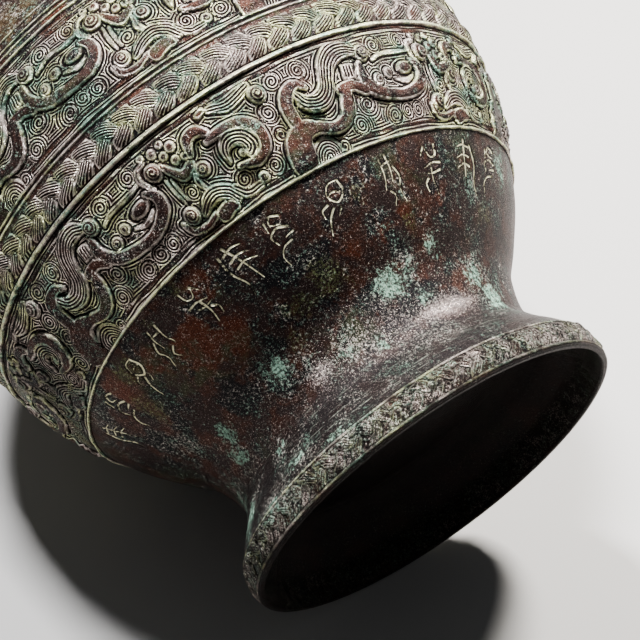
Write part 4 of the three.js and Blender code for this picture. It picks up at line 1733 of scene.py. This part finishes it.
    def point_numbers(self, points: np.ndarray, tag: np.ndarray) -> dict[str, np.ndarray]:
        """Measures the points by the patina's patches and the raised lines' tops.

        Args:
            points: The places of the points, in millimetres.
            tag: The girth length, wall length, outer flag and shade of each point.

        Returns:
            The patches' strengths, the pale tops and the shade, by name.
        """
        girth, length, on_wall, shade = tag.T
        radius = np.hypot(points[:, 0], points[:, 1])
        columns = {f"patch_{name}": self.patina.spread(patches, girth / GIRTH, length, radius) * on_wall
                   for name, patches in self.patina.kinds().items()}
        top = np.zeros(len(tag))
        for line in self.lines:
            away = np.abs(length - line.length) / (line.width / 2 + 0.35)
            top = np.maximum(top, line.pale * np.clip(1.0 - away, 0.0, 1.0))
        return columns | {"line_top": top * on_wall, "shade": shade}


@dataclass(frozen=True)
class PaleTable:
    """The table's plain pale finish, which leaves its underside clear."""

    colour: Colour = (0.50, 0.49, 0.475, 1.0)
    roughness: float = 0.7

    def make(self) -> bpy.types.Material:
        """Builds the finish.

        Returns:
            The material.
        """
        material = bpy.data.materials.new("pale_table")
        board = Board(material)
        shader = board.node("ShaderNodeBsdfPrincipled")
        shader.inputs["Base Color"].default_value = self.colour
        shader.inputs["Roughness"].default_value = self.roughness
        clear = board.node("ShaderNodeBsdfTransparent")
        pick = board.node("ShaderNodeMixShader")
        board.link(board.node("ShaderNodeNewGeometry").outputs["Backfacing"], pick.inputs[0])
        board.link(shader.outputs[0], pick.inputs[1])
        board.link(clear.outputs[0], pick.inputs[2])
        board.link(pick.outputs[0], board.node("ShaderNodeOutputMaterial").inputs["Surface"])
        return material


@dataclass(frozen=True)
class Lamp:
    """A soft square light: its way from the vessel along the picture's axes, its distance, side, power and tint."""

    name: str
    right: float
    up: float
    back: float
    distance: float
    size: float
    power: float
    tint: tuple[float, float, float]


@dataclass
class Studio:
    """The pale table, the soft lights and the camera at the photograph's view."""

    camera_radius: float = 0.6351
    camera_height: float = -0.1764
    aim_side: float = 0.0010
    aim_height: float = 0.0894
    roll: float = -36.42
    focal_pixels: float = 1603.5
    picture_pixels: float = 640.0
    sensor: float = 36.0
    look_down: float = 43.8
    floor_half: float = 4.0
    relief: float = 2.0
    belly_height: float = 0.16
    room_tint: Colour = (0.80, 0.83, 0.86, 1.0)
    room_strength: float = 0.09
    lamps: tuple[Lamp, ...] = (
        Lamp("key", right=0.42, up=0.90, back=0.18, distance=1.25, size=0.26, power=70.0, tint=(1.0, 0.965, 0.92)),
        Lamp("side", right=-0.24, up=0.86, back=0.48, distance=1.4, size=0.22, power=64.0, tint=(0.98, 0.98, 1.0)))
    wall: Wall = field(default_factory=Wall)

    def axes(self) -> tuple[Vector, Vector, Vector]:
        """Finds the picture's axes in the vessel's frame.

        Returns:
            The picture's right, its up and the way back to the camera.
        """
        eye = Vector((0.0, -self.camera_radius, self.camera_height))
        aim = Vector((self.aim_side, 0.0, self.aim_height))
        ahead = (aim - eye).normalized()
        right = ahead.cross(Vector((0.0, 0.0, 1.0))).normalized()
        up = right.cross(ahead)
        cos, sin = math.cos(math.radians(self.roll)), math.sin(math.radians(self.roll))
        return right * cos + up * sin, up * cos - right * sin, -ahead

    def camera(self) -> bpy.types.Object:
        """Sets the camera at the photograph's view.

        Returns:
            The camera.
        """
        right, up, back = self.axes()
        lens = bpy.data.cameras.new("photo_view")
        lens.sensor_width = self.sensor
        lens.lens = self.focal_pixels / self.picture_pixels * self.sensor
        lens.clip_start = 0.01
        made = bpy.data.objects.new("photo_view", lens)
        turn = Matrix((right, up, back)).transposed().to_4x4()
        turn.translation = Vector((0.0, -self.camera_radius, self.camera_height))
        made.matrix_world = turn
        bpy.context.scene.collection.objects.link(made)
        bpy.context.scene.camera = made
        return made

    def table_normal(self) -> Vector:
        """Finds the way up from the table that the vessel lies on in the photograph.

        Returns:
            The table's unit normal.
        """
        _, up, back = self.axes()
        slope = math.radians(self.look_down)
        return (up * math.cos(slope) + back * math.sin(slope)).normalized()

    def table(self) -> bpy.types.Object:
        """Lays the pale table against the vessel's belly. It shows on its upper side only.

        Returns:
            The table.
        """
        normal = self.table_normal()
        flat = Vector((normal.x, normal.y, 0.0))
        heights = np.linspace(0.0, self.wall.total_height, 441)
        reach = normal.z * heights - flat.length * (self.wall.radius(heights) + self.relief)
        lowest = int(np.argmin(reach))
        out = float(self.wall.radius(heights[lowest:lowest + 1])[0]) + self.relief
        touch = (Vector((0.0, 0.0, float(heights[lowest]))) - flat.normalized() * out) * METRE
        right, _, _ = self.axes()
        along = (right - normal * right.dot(normal)).normalized()
        other = normal.cross(along)
        corners = [touch + along * (a * self.floor_half) + other * (b * self.floor_half)
                   for a, b in ((-1, -1), (1, -1), (1, 1), (-1, 1))]
        mesh = bpy.data.meshes.new("table")
        mesh.from_pydata([tuple(corner) for corner in corners], [], [(0, 1, 2, 3)])
        made = bpy.data.objects.new("table", mesh)
        mesh.materials.append(PaleTable().make())
        bpy.context.scene.collection.objects.link(made)
        return made

    def hang(self, lamp: Lamp) -> None:
        """Hangs a soft square light that faces the vessel's belly.

        Args:
            lamp: The light's place, side, power and tint.
        """
        right, up, back = self.axes()
        way = up * lamp.up + right * lamp.right + back * lamp.back
        light = bpy.data.lights.new(lamp.name, "AREA")
        light.size = lamp.size
        light.energy = lamp.power
        light.color = lamp.tint
        made = bpy.data.objects.new(lamp.name, light)
        made.location = Vector((0.0, 0.0, self.belly_height)) + way.normalized() * lamp.distance
        made.rotation_euler = (-way).to_track_quat("-Z", "Y").to_euler()
        bpy.context.scene.collection.objects.link(made)

    def light(self) -> None:
        """Hangs the lights and sets the pale surroundings."""
        for lamp in self.lamps:
            self.hang(lamp)
        world = bpy.data.worlds.new("pale_room")
        world.use_nodes = True
        sky = world.node_tree.nodes["Background"]
        sky.inputs["Color"].default_value = self.room_tint
        sky.inputs["Strength"].default_value = self.room_strength
        bpy.context.scene.world = world


def main() -> None:
    """Builds the vessel and its studio, and reports each piece."""
    logging.basicConfig(level=logging.INFO, format="%(name)s: %(message)s")
    studio = Studio()
    studio.camera()
    casting = Casting().build()
    casting.data.materials.append(OldBronze().make())
    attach(casting, "root")
    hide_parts("vessel")
    log.info("piece %s: %d polygons", casting.name, len(casting.data.polygons))
    studio.table()
    studio.light()
    log.info("stage: table, two lights and a pale room")


if __name__ == "__main__":
    main()
